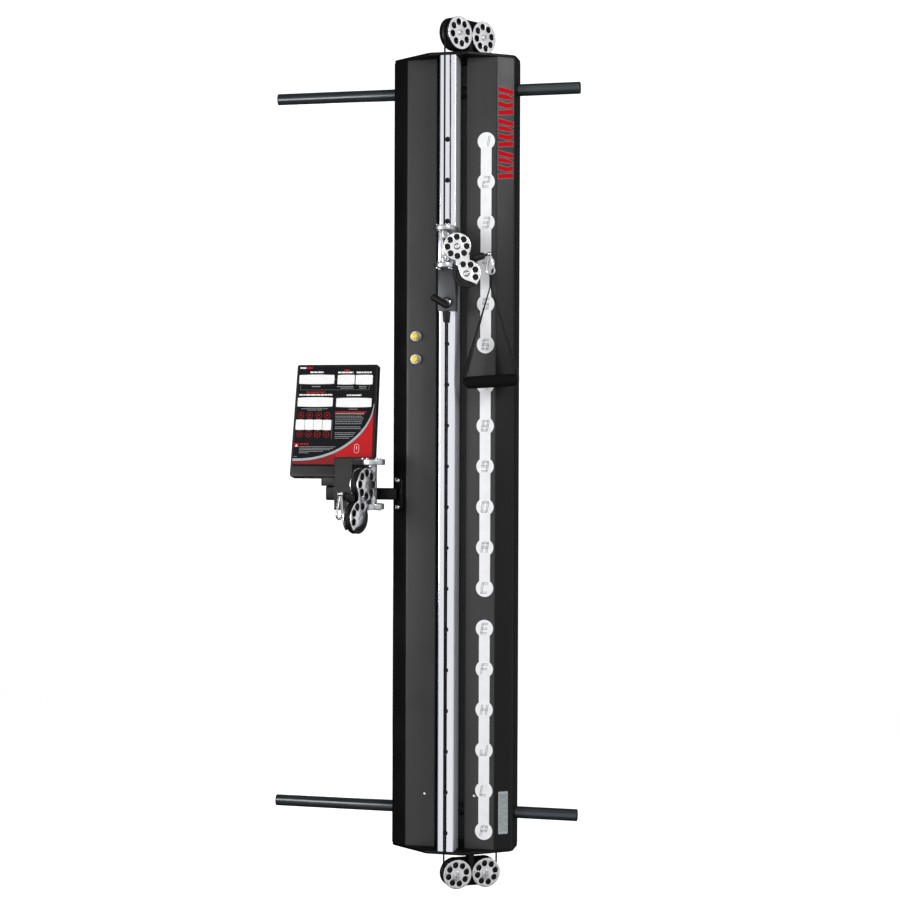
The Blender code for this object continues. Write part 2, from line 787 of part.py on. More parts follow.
def dee_outline(centre, half, back, right=None, notch=None):
    """Flange outline: a round nose forwards, straight sides, and a notch round the rail."""
    right = right or half
    nose = arc_points(centre, half, 180, 360 - math.degrees(math.acos(right / half)), 16)
    if notch is None:
        return nose + [(centre[0] + right, back), (centre[0] - half, back)]
    return nose + [
        (right, back),
        (notch[0], back),
        (notch[0], notch[1]),
        (-notch[0], notch[1]),
        (-notch[0], back),
        (-half, back),
    ]


def flange(name, low, radius, right):
    notch = (RAIL_HALF + 0.0008, RAIL_FRONT - 0.0008)
    outline = dee_outline((SWIVEL.x, SWIVEL.y), radius, FLANGE_BACK, right, notch)
    hole = circle_points((SWIVEL.x, SWIVEL.y), 0.0040, 12)
    return add_object(name, smooth(slab(name, outline, low, low + FLANGE_THICK, [hole])), "aluminium")


def carriage():
    low = SWIVEL.z - FLANGE_GAP_HALF
    high = SWIVEL.z + FLANGE_GAP_HALF
    flange("carriage_upper_flange", high, NOSE_RADIUS, NOSE_RADIUS)
    flange("carriage_lower_flange", low - FLANGE_THICK, LOWER_NOSE_RADIUS, WHEEL_RELIEF)
    body = block(
        "carriage_body",
        (-RAIL_HALF, BLOCK_FRONT, low + GAP),
        (RAIL_HALF, RAIL_FRONT - 0.0010, high - GAP),
    )
    bevel(add_object("carriage_body", body, "aluminium"), 0.003)
    inner = RAIL_HALF + 0.0005
    outline = [
        (-SLEEVE_HALF, SLEEVE_FRONT),
        (SLEEVE_HALF, SLEEVE_FRONT),
        (SLEEVE_HALF, FLANGE_BACK),
        (inner, FLANGE_BACK),
        (inner, RAIL_FRONT - 0.0005),
        (-inner, RAIL_FRONT - 0.0005),
        (-inner, FLANGE_BACK),
        (-SLEEVE_HALF, FLANGE_BACK),
    ]
    sleeve = add_object("carriage_sleeve", slab("carriage_sleeve", outline, *SLEEVE_Z), "grey_paint")
    hole = slab("sleeve_hole", circle_points((0, 0), 0.0063, 12), -0.02, 0.02)
    boolean(sleeve, cutter("cut_sleeve_hole", hole, along((0, -1, 0), (0, SLEEVE_FRONT, PIN_Z))))
    pull_pin()
    boot = [
        (0.0030, BOOT_Z[0]),
        (0.0060, BOOT_Z[0]),
        (0.0085, BOOT_Z[1] - 0.004),
        (0.0085, BOOT_Z[1]),
        (0.0030, BOOT_Z[1]),
    ]
    place = Matrix.Translation((*LOWER_CABLE, 0))
    add_object("cable_boot", turned("cable_boot", boot, 16), "black_plastic", place)


def pull_pin():
    """Spring plunger: collar on the sleeve, pin through it, and the tee handle."""
    front = along((0, -1, 0), (0, SLEEVE_FRONT - GAP, PIN_Z))
    collar = turned("pin_collar", cylinder_profile(0.0118, 0, 0.014, 0.002, 0.0063), 20)
    add_object("pin_collar", collar, "steel", front)
    reach = SLEEVE_FRONT - TEE_Y
    pin = turned("pull_pin", cylinder_profile(0.0058, SLEEVE_FRONT - RAIL_FRONT + 0.0005, reach + 0.002), 12)
    obj = add_object("pull_pin", pin, "black_plastic", along((0, -1, 0), (0, SLEEVE_FRONT, PIN_Z)))
    direction = Vector((math.cos(TEE_TILT), 0, -math.sin(TEE_TILT)))
    half = TEE_LENGTH / 2
    bar = cylinder_profile(TEE_RADIUS, -half, half, 0.0035)
    frame = along(direction, (-0.0045, TEE_Y, PIN_Z))
    boolean(obj, cutter("add_tee", turned("tee", bar, 16), frame), "UNION")


# ---------------------------------------------------------------- console


def console_outline(margin, foot):
    """Slightly tapered panel in the local XY plane, y up the face."""
    low = -CONSOLE_HEIGHT / 2
    high = CONSOLE_HEIGHT / 2
    wide = CONSOLE_BOTTOM_WIDTH / 2 - margin
    narrow = CONSOLE_TOP_WIDTH / 2 - margin
    return [(-wide, low + foot), (wide, low + foot), (narrow, high - margin), (-narrow, high - margin)]


def console():
    """Display housing on its neck, and its printed face."""
    tilt = Matrix.Translation(CONSOLE_CENTRE) @ Matrix.Rotation(math.pi / 2 - CONSOLE_TILT, 4, "X")
    half = CONSOLE_THICK / 2
    body = slab("console_housing", console_outline(0.0, 0.0), -half, half)
    housing = add_object("console_housing", body, "black_plastic", tilt)
    bevel(housing, 0.006, 2)
    x = CONSOLE_CENTRE.x
    neck_low = (x - NECK_HALF, ARM_Y - 0.036, ARM_Z + 0.0205 + GAP)
    neck = block("neck", neck_low, (x + NECK_HALF, ARM_Y + 0.018, -0.045))
    boolean(housing, cutter("add_neck", neck), "UNION")
    face = slab("console_overlay", console_outline(0.007, 0.030), half + GAP, half + GAP + OVERLAY_THICK)
    add_object("console_overlay", face, "overlay", tilt)


def console_arm():
    """Square arm with its end block, welded to a foot plate on the left chamfer."""
    low = (ARM_LEFT + 0.01, ARM_Y - ARM_HALF, ARM_Z - ARM_HALF)
    high = (-HALF_WIDTH + 0.020, ARM_Y + ARM_HALF, ARM_Z + ARM_HALF)
    arm = add_object("console_arm", block("console_arm", low, high), "black_paint")
    end_low = (ARM_LEFT, ARM_Y - 0.0190, ARM_Z - 0.0185)
    end = block("arm_end", end_low, (-0.285, ARM_Y + 0.0190, ARM_Z + 0.0205))
    boolean(arm, cutter("add_arm_end", end), "UNION")
    foot_outline = [
        (-0.017, 0.034), (-0.011, 0.044), (0.011, 0.044), (0.017, 0.034),
        (0.017, -0.034), (0.011, -0.044), (-0.011, -0.044), (-0.017, -0.034),
    ]
    foot = slab("arm_foot", foot_outline, GAP, 0.0075)
    boolean(arm, cutter("add_arm_foot", foot, chamfer_frame(ARM_Z)), "UNION")
    spare = slab("arm_trim", column_void(), ARM_Z - 0.06, ARM_Z + 0.06)
    boolean(arm, cutter("cut_arm_column", spare))


def column_void():
    """Plan of the column's left corner, grown by the gap."""
    return [
        (-HALF_WIDTH - GAP, 0.0),
        (-HALF_WIDTH - GAP, SIDE_FRONT - GAP / 2),
        (-PANEL_HALF - GAP, PANEL_FRONT - GAP),
        (-0.05, PANEL_FRONT - GAP),
        (-0.05, 0.0),
    ]


def chamfer_frame(z):
    """On the left chamfer: local X across it, local Y up, local Z outwards."""
    across = Vector((HALF_WIDTH - PANEL_HALF, PANEL_FRONT - SIDE_FRONT, 0)).normalized()
    up = Vector((0, 0, 1))
    out = across.cross(up)
    middle = ((-HALF_WIDTH - PANEL_HALF) / 2, (SIDE_FRONT + PANEL_FRONT) / 2, z)
    return Matrix.Translation(middle) @ Matrix((across, up, out)).transposed().to_4x4()


def arm_post():
    """Post on the arm that carries the second head, with its two flanges."""
    s = ARM_HEAD_SCALE
    low = ARM_SWIVEL.z - (FLANGE_GAP_HALF + FLANGE_THICK) * s - 0.004
    high = ARM_SWIVEL.z + (FLANGE_GAP_HALF + FLANGE_THICK) * s + 0.004
    back = Vector((-math.sin(ARM_NOSE_TURN), math.cos(ARM_NOSE_TURN)))
    across = Vector((math.cos(ARM_NOSE_TURN), math.sin(ARM_NOSE_TURN))) * NOSE_RADIUS * s
    seat = Vector((ARM_SWIVEL.x, ARM_SWIVEL.y)) + back * ARM_FLANGE_REACH
    near = seat - across
    far = seat + across
    outline = [
        tuple(near),
        tuple(far),
        (far.x, ARM_POST_BACK),
        (ARM_POST_LEFT, ARM_POST_BACK),
        (ARM_POST_LEFT, near.y),
    ]
    post = add_object("arm_post", slab("arm_post", outline, low, high), "black_paint")
    bevel(post, 0.003)
    front = ARM_Y - ARM_HALF - GAP
    foot_low = (ARM_POST_LEFT + 0.024, ARM_POST_BACK - 0.01, ARM_Z - 0.0125)
    foot = block("post_foot", foot_low, (far.x - 0.006, front, ARM_Z + 0.0125))
    boolean(post, cutter("add_post_foot", foot), "UNION")
    upper = (FLANGE_GAP_HALF * s, NOSE_RADIUS * s)
    lower = (-(FLANGE_GAP_HALF + FLANGE_THICK) * s, LOWER_NOSE_RADIUS * s)
    for label, (base, radius) in (("upper", upper), ("lower", lower)):
        name = f"arm_{label}_flange"
        plate = dee_outline((0, 0), radius, ARM_FLANGE_REACH - GAP)
        mesh = smooth(slab(name, plate, 0, FLANGE_THICK * s, [circle_points((0, 0), 0.0048, 12)]))
        place = Matrix.Translation(ARM_SWIVEL + Vector((0, 0, base))) @ Matrix.Rotation(ARM_NOSE_TURN, 4, "Z")
        add_object(name, mesh, "aluminium", place)


# ---------------------------------------------------------------- buttons, cables, inside


def buttons():
    for level, z in BUTTON_Z.items():
        frame = along((0, -1, 0), (BUTTON_X, PANEL_FRONT, z))
        collar = turned(f"{level}_button_collar", COLLAR_PROFILE, 20)
        add_object(f"{level}_button_collar", collar, "steel", frame)
        cap = turned(f"{level}_button_cap", BUTTON_PROFILE, 20)
        add_object(f"{level}_button_cap", cap, "yellow", frame)


def straight_cable(name, at, low, high):
    tube(name, [(at[0], at[1], z) for z in (low, (low + high) / 2, high)], CABLE_RADIUS, "cable")


def rail_cables():
    above = SWIVEL.z + FLANGE_GAP_HALF
    straight_cable("upper_cable", (SWIVEL.x, SWIVEL.y), above, STATION_Z["top"] - 0.002 - GAP)
    straight_cable("lower_cable", LOWER_CABLE, STATION_Z["bottom"] + 0.002 + GAP, BOOT_Z[1] - 0.002)


def air_ram():
    """Pneumatic cylinder, its rod and clevis, and the inner cable up to the top wheels."""
    bottom, top = CYLINDER_Z
    barrel = [
        (0.0, bottom),
        (0.024, bottom),
        (0.024, top),
        (0.0070, top),
        (0.0070, bottom + 0.03),
        (0.0, bottom + 0.03),
    ]
    place = Matrix.Translation((RAM_X, RAM_Y, 0))
    cylinder = add_object("air_cylinder", turned("air_cylinder", barrel, 20), "aluminium", place)
    base = block("cylinder_base", (0.062, -0.0905, bottom), (0.131, -0.012, bottom + 0.010))
    boolean(cylinder, cutter("add_cylinder_base", base), "UNION")
    rod = [
        (0.0, top - 0.35),
        (0.0066, top - 0.35),
        (0.0066, ROD_TOP - 0.03),
        (0.014, ROD_TOP - 0.028),
        (0.014, ROD_TOP),
        (0.0, ROD_TOP),
    ]
    add_object("ram_rod", turned("ram_rod", rod, 16), "steel", place)
    inner = station_points("top")[3]
    straight_cable("inner_cable", (inner.x, inner.y), ROD_TOP + GAP, HALF_HEIGHT - 0.060 - GAP)


def build():
    clear_scene()
    column()
    for level in BAR_Z:
        cross_bar(level)
    for level in ("top", "bottom"):
        station(level)
    carriage()
    frame, axis = head("head", SWIVEL, HEAD_TURN, 1.0, closed=False)
    head_cable(frame, axis)
    handle(frame, axis)
    hook_gate(frame, axis)
    arm_post()
    head("arm_head", ARM_SWIVEL, ARM_HEAD_TURN, ARM_HEAD_SCALE, closed=True)
    console()
    console_arm()
    buttons()
    rail_cables()
    air_ram()
    bpy.context.view_layer.update()


build()
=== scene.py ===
"""Looks for the cable column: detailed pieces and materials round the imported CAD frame."""

import math
import random

import bmesh
import bpy
from mathutils import Matrix, Vector


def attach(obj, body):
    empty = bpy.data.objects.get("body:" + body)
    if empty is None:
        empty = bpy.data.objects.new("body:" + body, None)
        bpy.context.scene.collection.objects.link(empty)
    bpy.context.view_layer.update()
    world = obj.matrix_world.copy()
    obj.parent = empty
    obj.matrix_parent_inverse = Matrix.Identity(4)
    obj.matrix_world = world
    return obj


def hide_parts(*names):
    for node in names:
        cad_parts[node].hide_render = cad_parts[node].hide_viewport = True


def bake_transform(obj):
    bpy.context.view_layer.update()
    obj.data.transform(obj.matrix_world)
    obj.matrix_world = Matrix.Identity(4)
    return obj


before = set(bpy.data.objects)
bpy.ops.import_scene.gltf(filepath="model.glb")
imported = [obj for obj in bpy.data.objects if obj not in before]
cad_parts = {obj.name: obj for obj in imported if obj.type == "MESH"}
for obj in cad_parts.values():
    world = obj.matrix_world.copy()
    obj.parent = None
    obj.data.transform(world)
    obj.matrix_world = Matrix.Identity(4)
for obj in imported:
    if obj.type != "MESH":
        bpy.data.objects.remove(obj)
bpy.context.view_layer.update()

# ---------------------------------------------------------------- sizes, in metres

SWIVEL = Vector((0.0, -0.186, 0.543))
HEAD_TURN = math.radians(103)
ARM_SWIVEL = Vector((-0.187, -0.212, -0.080))
ARM_HEAD_TURN = math.radians(-19)
ARM_HEAD_SCALE = 1.2
ARM_NOSE_TURN = math.radians(40)
HALF_WIDTH = 0.166
PANEL_HALF = 0.121
RECESS_HALF = 0.040
SIDE_FRONT = -0.074
PANEL_FRONT = -0.102
BODY_TOP = 1.0517
SHEET = 0.002
RAIL_FRONT = -0.151
CAP_FRONT = -0.1525
BAR_Y = -0.022
BAR_LEFT = -0.5105
BAR_LENGTH = 0.843
BAR_RADIUS = 0.0160
BAR_BORE = 0.0120
BAR_Z = {"upper": 0.9766, "lower": -0.9651}
HOLE_TOP = 0.8296
HOLE_PITCH = 0.1078
PIN_Z = HOLE_TOP - 4 * HOLE_PITCH
CABLE = 0.0024
UPPER_AXLE = (0.0340, 0.0)
LOWER_AXLE = (0.0585, -0.0708)
CORD_PITCH = 0.0340
EXIT_TILT = math.radians(16)
EYE_REACH = 0.0719
BAIL_DROP = 0.0075
BAIL_RADIUS = 0.0035
HOOK_DROP = 0.0430
HOOK_RADIUS = 0.0105
HOOK_WIRE = 0.0026
FLANGE_GAP = 0.0424
FLANGE_THICK = 0.0125
BUTTON_X = -0.0957
BUTTON_Z = {"upper": 0.3136, "lower": 0.2522}
STATION = {
    "top": {"disc": 0.0432, "pitch": 0.040, "spread": 0.0885, "turn": 147, "z": 1.1066,
            "start": (0.0, -0.186)},
    "bottom": {"disc": 0.0386, "pitch": 0.033, "spread": 0.0800, "turn": 120, "z": -1.1086,
               "start": (-0.001, -0.1612)},
}

# ---------------------------------------------------------------- materials


def link(tree, out, into):
    tree.links.new(out, into)


def add_node(tree, kind, **values):
    """A new shader node with its input values; an underscore in a key stands for a space."""
    made = tree.nodes.new(f"ShaderNode{kind}")
    set_inputs(made, **values)
    return made


def set_inputs(target, **values):
    for key, value in values.items():
        target.inputs[key.replace("_", " ")].default_value = value


def surface(name, colour, rough, metal=0.0, spread=0.12, patch=5.0, grain=900.0, depth=0.00004,
            stretch=(1, 1, 1), rough_spread=0.08, coat=0.0, aniso=0.0, local=True, sheen=0.0, strength=0.6,
            shine=0.5):
    """Base material: slow tone changes, uneven gloss and a fine relief, all from the piece's own coordinates."""
    mat = bpy.data.materials.new(name)
    mat.use_nodes = True
    tree = mat.node_tree
    shader = tree.nodes["Principled BSDF"]
    set_inputs(shader, Metallic=metal, Coat_Weight=coat, Coat_Roughness=0.12, Anisotropic=aniso,
               Sheen_Weight=sheen, Specular_IOR_Level=shine)
    where = add_node(tree, "TexCoord")
    place = add_node(tree, "Mapping", Scale=stretch)
    link(tree, where.outputs["Object" if local else "UV"], place.inputs["Vector"])
    slow = add_node(tree, "TexNoise", Scale=patch, Detail=5.0)
    link(tree, place.outputs["Vector"], slow.inputs["Vector"])
    tone = add_node(tree, "ValToRGB")
    low = [c * (1 - spread) for c in colour]
    high = [min(1.0, c * (1 + spread)) for c in colour]
    for stop, position, shade in zip(tone.color_ramp.elements, (0.3, 0.7), (low, high)):
        stop.position = position
        stop.color = (*shade, 1)
    link(tree, slow.outputs["Fac"], tone.inputs["Fac"])
    link(tree, tone.outputs["Color"], shader.inputs["Base Color"])
    gloss = add_node(tree, "MapRange", From_Min=0.3, From_Max=0.7, To_Min=max(0.02, rough - rough_spread),
                     To_Max=min(1.0, rough + rough_spread))
    link(tree, slow.outputs["Fac"], gloss.inputs["Value"])
    link(tree, gloss.outputs["Result"], shader.inputs["Roughness"])
    fine = add_node(tree, "TexNoise", Scale=grain, Detail=3.0)
    link(tree, place.outputs["Vector"], fine.inputs["Vector"])
    relief = add_node(tree, "Bump", Strength=strength, Distance=depth)
    link(tree, fine.outputs["Fac"], relief.inputs["Height"])
    link(tree, relief.outputs["Normal"], shader.inputs["Normal"])
    return mat


def middle_distance(tree):
    """Socket with the distance of a point from the piece's middle plane, across its width."""
    where = add_node(tree, "TexCoord")
    split = add_node(tree, "SeparateXYZ")
    link(tree, where.outputs["Object"], split.inputs["Vector"])
    size = tree.nodes.new("ShaderNodeMath")
    size.operation = "ABSOLUTE"
    link(tree, split.outputs["X"], size.inputs[0])
    return size.outputs["Value"]


def add_math(tree, operation, first, second):
    """Socket with the result of a sum or the like of two sockets."""
    both = tree.nodes.new("ShaderNodeMath")
    both.operation = operation
    link(tree, first, both.inputs[0])
    link(tree, second, both.inputs[1])
    return both.outputs["Value"]


def flat_print(name, colour, rough=0.45, shine=0.15):
    return surface(name, colour, rough, spread=0.04, patch=40.0, grain=1500.0, depth=0.00001,
                   rough_spread=0.04, shine=shine)


def darker_past_border(name, colour, edge_colour, rough, border):
    """Powder coat with a darker base colour beyond a distance from the middle, on the folds and side walls."""
    mat = surface(name, colour, rough, spread=0.10, patch=7, grain=700, depth=0.00012, shine=0.25)
    tree = mat.node_tree
    mask = add_node(tree, "MapRange", From_Min=border - 0.0010, From_Max=border + 0.0010)
    link(tree, middle_distance(tree), mask.inputs["Value"])
    mix = tree.nodes.new("ShaderNodeMix")
    mix.data_type = "RGBA"
    link(tree, mask.outputs["Result"], mix.inputs["Factor"])
    link(tree, tree.nodes["Color Ramp"].outputs["Color"], mix.inputs[6])
    mix.inputs[7].default_value = (*edge_colour, 1)
    link(tree, mix.outputs[2], tree.nodes["Principled BSDF"].inputs["Base Color"])
    return mat


def rail_material():
    """Polished chrome whose two side walls are a satin blue-grey."""
    mat = surface("rail_chrome_satin_sides", (0.76, 0.775, 0.83), 0.085, 1.0, spread=0.03, patch=2.2, grain=6,
                  depth=0.0006, stretch=(6, 6, 0.5), rough_spread=0.03, strength=0.25)
    tree = mat.node_tree
    shader = tree.nodes["Principled BSDF"]
    size = middle_distance(tree)
    for target, low, high, start, end in (("Metallic", 1.0, 0.58, 0.0216, 0.0223),
                                          ("Roughness", 0.0, 0.24, 0.0188, 0.0208)):
        mask = add_node(tree, "MapRange", From_Min=start, From_Max=end, To_Min=low, To_Max=high)
        link(tree, size, mask.inputs["Value"])
        value = mask.outputs["Result"]
        if target == "Roughness":
            value = add_math(tree, "ADD", shader.inputs[target].links[0].from_socket, value)
        link(tree, value, shader.inputs[target])
    return mat


def webbing_material():
    """Black nylon tape: a diagonal rib weave laid out on the tape's own length and width."""
    mat = surface("webbing_weave", (0.0045, 0.0045, 0.005), 0.62, patch=60, grain=2600, depth=0.00008,
                  sheen=0.06, local=False, shine=0.2)
    tree = mat.node_tree
    waves = []
    for turn in (0.7, -0.7):
        spin = add_node(tree, "Mapping", Rotation=(0, 0, turn))
        link(tree, tree.nodes["Texture Coordinate"].outputs["UV"], spin.inputs["Vector"])
        wave = add_node(tree, "TexWave", Scale=260.0)
        link(tree, spin.outputs["Vector"], wave.inputs["Vector"])
        waves.append(wave.outputs["Fac"])
    relief = add_node(tree, "Bump", Strength=0.8, Distance=0.0003)
    link(tree, add_math(tree, "MAXIMUM", *waves), relief.inputs["Height"])
    link(tree, tree.nodes["Bump"].outputs["Normal"], relief.inputs["Normal"])
    link(tree, relief.outputs["Normal"], tree.nodes["Principled BSDF"].inputs["Normal"])
    return mat


# Name, colour, roughness, metallic, spread, patch, grain, depth and any further options of surface().
FINISHES = {
    "panel": ("post_powder_coat", (0.013, 0.013, 0.0135), 0.50, 0.0, 0.10, 7, 700, 0.00012, {"shine": 0.25}),
    "black": ("black_powder_coat", (0.0045, 0.0045, 0.005), 0.42, 0.0, 0.12, 9, 800, 0.0001, {"shine": 0.14}),
    "bar": ("bar_paint", (0.024, 0.032, 0.037), 0.24, 0.0, 0.10, 8, 500, 0.00005, {"coat": 0.2}),
    "aluminium": ("machined_aluminium", (0.82, 0.825, 0.84), 0.24, 1.0, 0.05, 30, 2200, 0.00002,
                  {"rough_spread": 0.06, "aniso": 0.6}),
    "cast": ("satin_aluminium", (0.54, 0.55, 0.575), 0.34, 1.0, 0.08, 40, 1200, 0.00002, {"strength": 0.3}),
    "sleeve": ("graphite_paint", (0.054, 0.058, 0.067), 0.34, 0.0, 0.10, 14, 900, 0.00006, {"coat": 0.1}),
    "nylon": ("wheel_nylon", (0.008, 0.008, 0.009), 0.40, 0.0, 0.15, 30, 1500, 0.00003, {"shine": 0.3}),
    "jacket": ("cable_jacket", (0.004, 0.004, 0.004), 0.36, 0.0, 0.1, 30, 1500, 0.00002, {"shine": 0.12}),
    "rubber": ("stop_rubber", (0.007, 0.007, 0.008), 0.55, 0.0, 0.15, 40, 1800, 0.00006, {"shine": 0.3}),
    "plastic": ("moulded_plastic", (0.0065, 0.0065, 0.007), 0.46, 0.0, 0.12, 25, 2600, 0.00006, {"shine": 0.2}),
    "housing": ("housing_plastic", (0.0055, 0.0055, 0.006), 0.38, 0.0, 0.12, 15, 2400, 0.00006, {"shine": 0.25}),
    "steel": ("plated_steel", (0.68, 0.685, 0.71), 0.17, 1.0, 0.06, 60, 1600, 0.00001, {"strength": 0.3}),
    "foam": ("grip_foam", (0.0045, 0.0042, 0.0042), 0.85, 0.0, 0.18, 50, 1100, 0.0004, {"shine": 0.1}),
    "yellow": ("button_yellow", (0.84, 0.64, 0.012), 0.30, 0.0, 0.04, 80, 1600, 0.00002, {"coat": 0.4}),
    "overlay": ("console_overlay", (0.0075, 0.008, 0.009), 0.46, 0.0, 0.06, 20, 2600, 0.00003, {"shine": 0.06}),
    "gunmetal": ("washer_grey", (0.16, 0.16, 0.175), 0.30, 1.0, 0.08, 60, 1600, 0.00003, {}),
    "bezel": ("bezel_satin", (0.52, 0.53, 0.55), 0.42, 0.8, 0.06, 60, 1600, 0.00001, {"strength": 0.2}),
    "rear": ("rear_powder_coat", (0.032, 0.032, 0.0326), 0.45, 0.0, 0.12, 6, 700, 0.00012, {"shine": 0.3}),
    "pale_metal": ("perforation_edge", (0.055, 0.055, 0.058), 0.35, 0.0, 0.1, 60, 900, 0.00004, {}),
    "dark": ("deep_shadow", (0.004, 0.004, 0.004), 0.8, 0.0, 0.1, 30, 900, 0.00003, {}),
}
# Name, colour and, where it isn't the usual one, roughness and shine.
PRINTS = {
    "decal": ("label_grey_white", (0.83, 0.835, 0.86)),
    "glyph": ("label_figure_grey", (0.20, 0.205, 0.215)),
    "white": ("print_white", (0.90, 0.90, 0.90)),
    "pale": ("print_pale_grey", (0.30, 0.31, 0.32)),
    "red": ("print_red", (0.50, 0.005, 0.009)),
    "mark_red": ("mark_red", (0.46, 0.004, 0.008), 0.60, 0.04),
    "red_dark": ("print_dark_red", (0.24, 0.008, 0.010)),
    "teal": ("print_teal_grey", (0.075, 0.125, 0.140)),
    "silver": ("print_silver", (0.40, 0.43, 0.45), 0.25),
}
M = {key: surface(*row[:-1], **row[-1]) for key, row in FINISHES.items()}
M.update((key, flat_print(*row)) for key, row in PRINTS.items())
M["shell"] = darker_past_border("panel_powder_coat", (0.034, 0.034, 0.0346), (0.0045, 0.0045, 0.0048), 0.36, 0.1210)
M["rail"] = rail_material()
M["webbing"] = webbing_material()

# ---------------------------------------------------------------- shape helpers


def smooth_mesh(bm, name, angle):
    """Turns the bmesh into a mesh, smooth up to an angle in degrees."""
    mesh = bpy.data.meshes.new(name)
    bm.to_mesh(mesh)
    bm.free()
    mesh.shade_smooth()
    mesh.set_sharp_from_angle(angle=math.radians(angle))
    return mesh


def finish_mesh(bm, name, angle=38):
    bmesh.ops.remove_doubles(bm, verts=bm.verts, dist=1e-6)
    bmesh.ops.recalc_face_normals(bm, faces=bm.faces)
    return smooth_mesh(bm, name, angle)


def box(x0, x1, y0, y1):
    """A rectangle's four corners, from the first corner along x first."""
    return [(x0, y0), (x1, y0), (x1, y1), (x0, y1)]


def circle(centre, radius, count=28, start=0.0):
    step = 2 * math.pi / count
    return [(centre[0] + radius * math.cos(start + i * step), centre[1] + radius * math.sin(start + i * step))
            for i in range(count)]


def arc(centre, radius, start, end, count):
    turn = [math.radians(start + (end - start) * i / count) for i in range(count + 1)]
    return [(centre[0] + radius * math.cos(t), centre[1] + radius * math.sin(t)) for t in turn]


def rounded(points, radius, closed=True, steps=4):
    """The same outline with its corners rounded; radius is one number or one per corner."""
    count = len(points)
    result = []
    for i, point in enumerate(points):
        here = Vector(point)
        size = radius[i] if isinstance(radius, (list, tuple)) else radius
        if (not closed and i in (0, count - 1)) or size <= 0:
            result.append(tuple(here))
            continue
        before = Vector(points[i - 1]) - here
        after = Vector(points[(i + 1) % count]) - here
        reach = min(size, before.length * 0.48, after.length * 0.48)
        first = here + before.normalized() * reach
        last = here + after.normalized() * reach
        for k in range(steps + 1):
            t = k / steps
            result.append(tuple(first * (1 - t) ** 2 + here * 2 * t * (1 - t) + last * t ** 2))
    return result


def area(loop):
    return sum(a[0] * b[1] - b[0] * a[1] for a, b in zip(loop, loop[1:] + loop[:1])) / 2


def distinct(points, apart):
    """The same points without any that lies within a distance of the last one kept."""
    kept = [points[0]]
    for point in points[1:]:
        if (Vector(point) - Vector(kept[-1])).length > apart:
            kept.append(point)
    return kept


def inset(loop, distance):
    """A closed loop moved to its left, with mitred corners."""
    moved = []
    for i, point in enumerate(loop):
        here = Vector(point)
        one = (here - Vector(loop[i - 1])).normalized()
        two = (Vector(loop[(i + 1) % len(loop)]) - here).normalized()
        n1 = Vector((-one.y, one.x))
        n2 = Vector((-two.y, two.x))
        mean = n1 + n2
        mean = mean.normalized() if mean.length > 1e-6 else n1
        moved.append(tuple(here + mean * distance / max(0.35, mean.dot(n1))))
    return moved


def slab(name, outline, low, high, holes=(), edge=0.0, steps=2, angle=38):
    """A plate with rounded edges: outline and holes in local XY, from z = low to z = high."""
    bm = bmesh.new()
    loops = [outline if area(outline) > 0 else outline[::-1]]
    loops += [h if area(h) < 0 else h[::-1] for h in holes]
    rings = []
    if edge:
        for k in range(steps + 1):
            t = math.pi / 2 * k / steps
            rings.append((low + edge * (1 - math.cos(t)), edge * (1 - math.sin(t))))
        rings += [(low + high - z, d) for z, d in rings[::-1]]
    else:
        rings = [(low, 0.0), (high, 0.0)]
    caps = ([], [])
    for loop in loops:
        layers = []
        for z, distance in rings:
            spots = inset(loop, distance) if distance > 1e-9 else loop
            layers.append([bm.verts.new((x, y, z)) for x, y in spots])
        for a, b in zip(layers, layers[1:]):
            for i in range(len(a)):
                bm.faces.new((a[i - 1], a[i], b[i], b[i - 1]))
        for cap, layer in ((caps[0], layers[0]), (caps[1], layers[-1])):
            for i in range(len(layer)):
                cap.append(bm.edges.get((layer[i - 1], layer[i])) or bm.edges.new((layer[i - 1], layer[i])))
    bmesh.ops.triangle_fill(bm, use_beauty=True, edges=caps[0], normal=(0, 0, -1))
    bmesh.ops.triangle_fill(bm, use_beauty=True, edges=caps[1], normal=(0, 0, 1))
    return finish_mesh(bm, name, angle)


def lathe(name, profile, segments=48, angle=38, edge=0.0):
    """A solid of revolution about local Z from a closed profile of (radius, z)."""
    if edge:
        sizes = [0.0 if r < 1e-7 else edge for r, _ in profile]
        profile = rounded(profile, sizes, steps=2)
    bm = bmesh.new()
    rings = []
    for r, z in profile:
        if r < 1e-7:
            rings.append([bm.verts.new((0, 0, z))])
            continue
        rings.append([bm.verts.new((x, y, z)) for x, y in circle((0, 0), r, segments)])
    for a, b in zip(rings, rings[1:] + rings[:1]):
        for i in range(segments):
            corners = [ring[k % len(ring)] for ring, k in ((a, i - 1), (a, i), (b, i), (b, i - 1))]
            unique = list(dict.fromkeys(corners))
            if len(unique) > 2:
                bm.faces.new(unique)
    return finish_mesh(bm, name, angle)


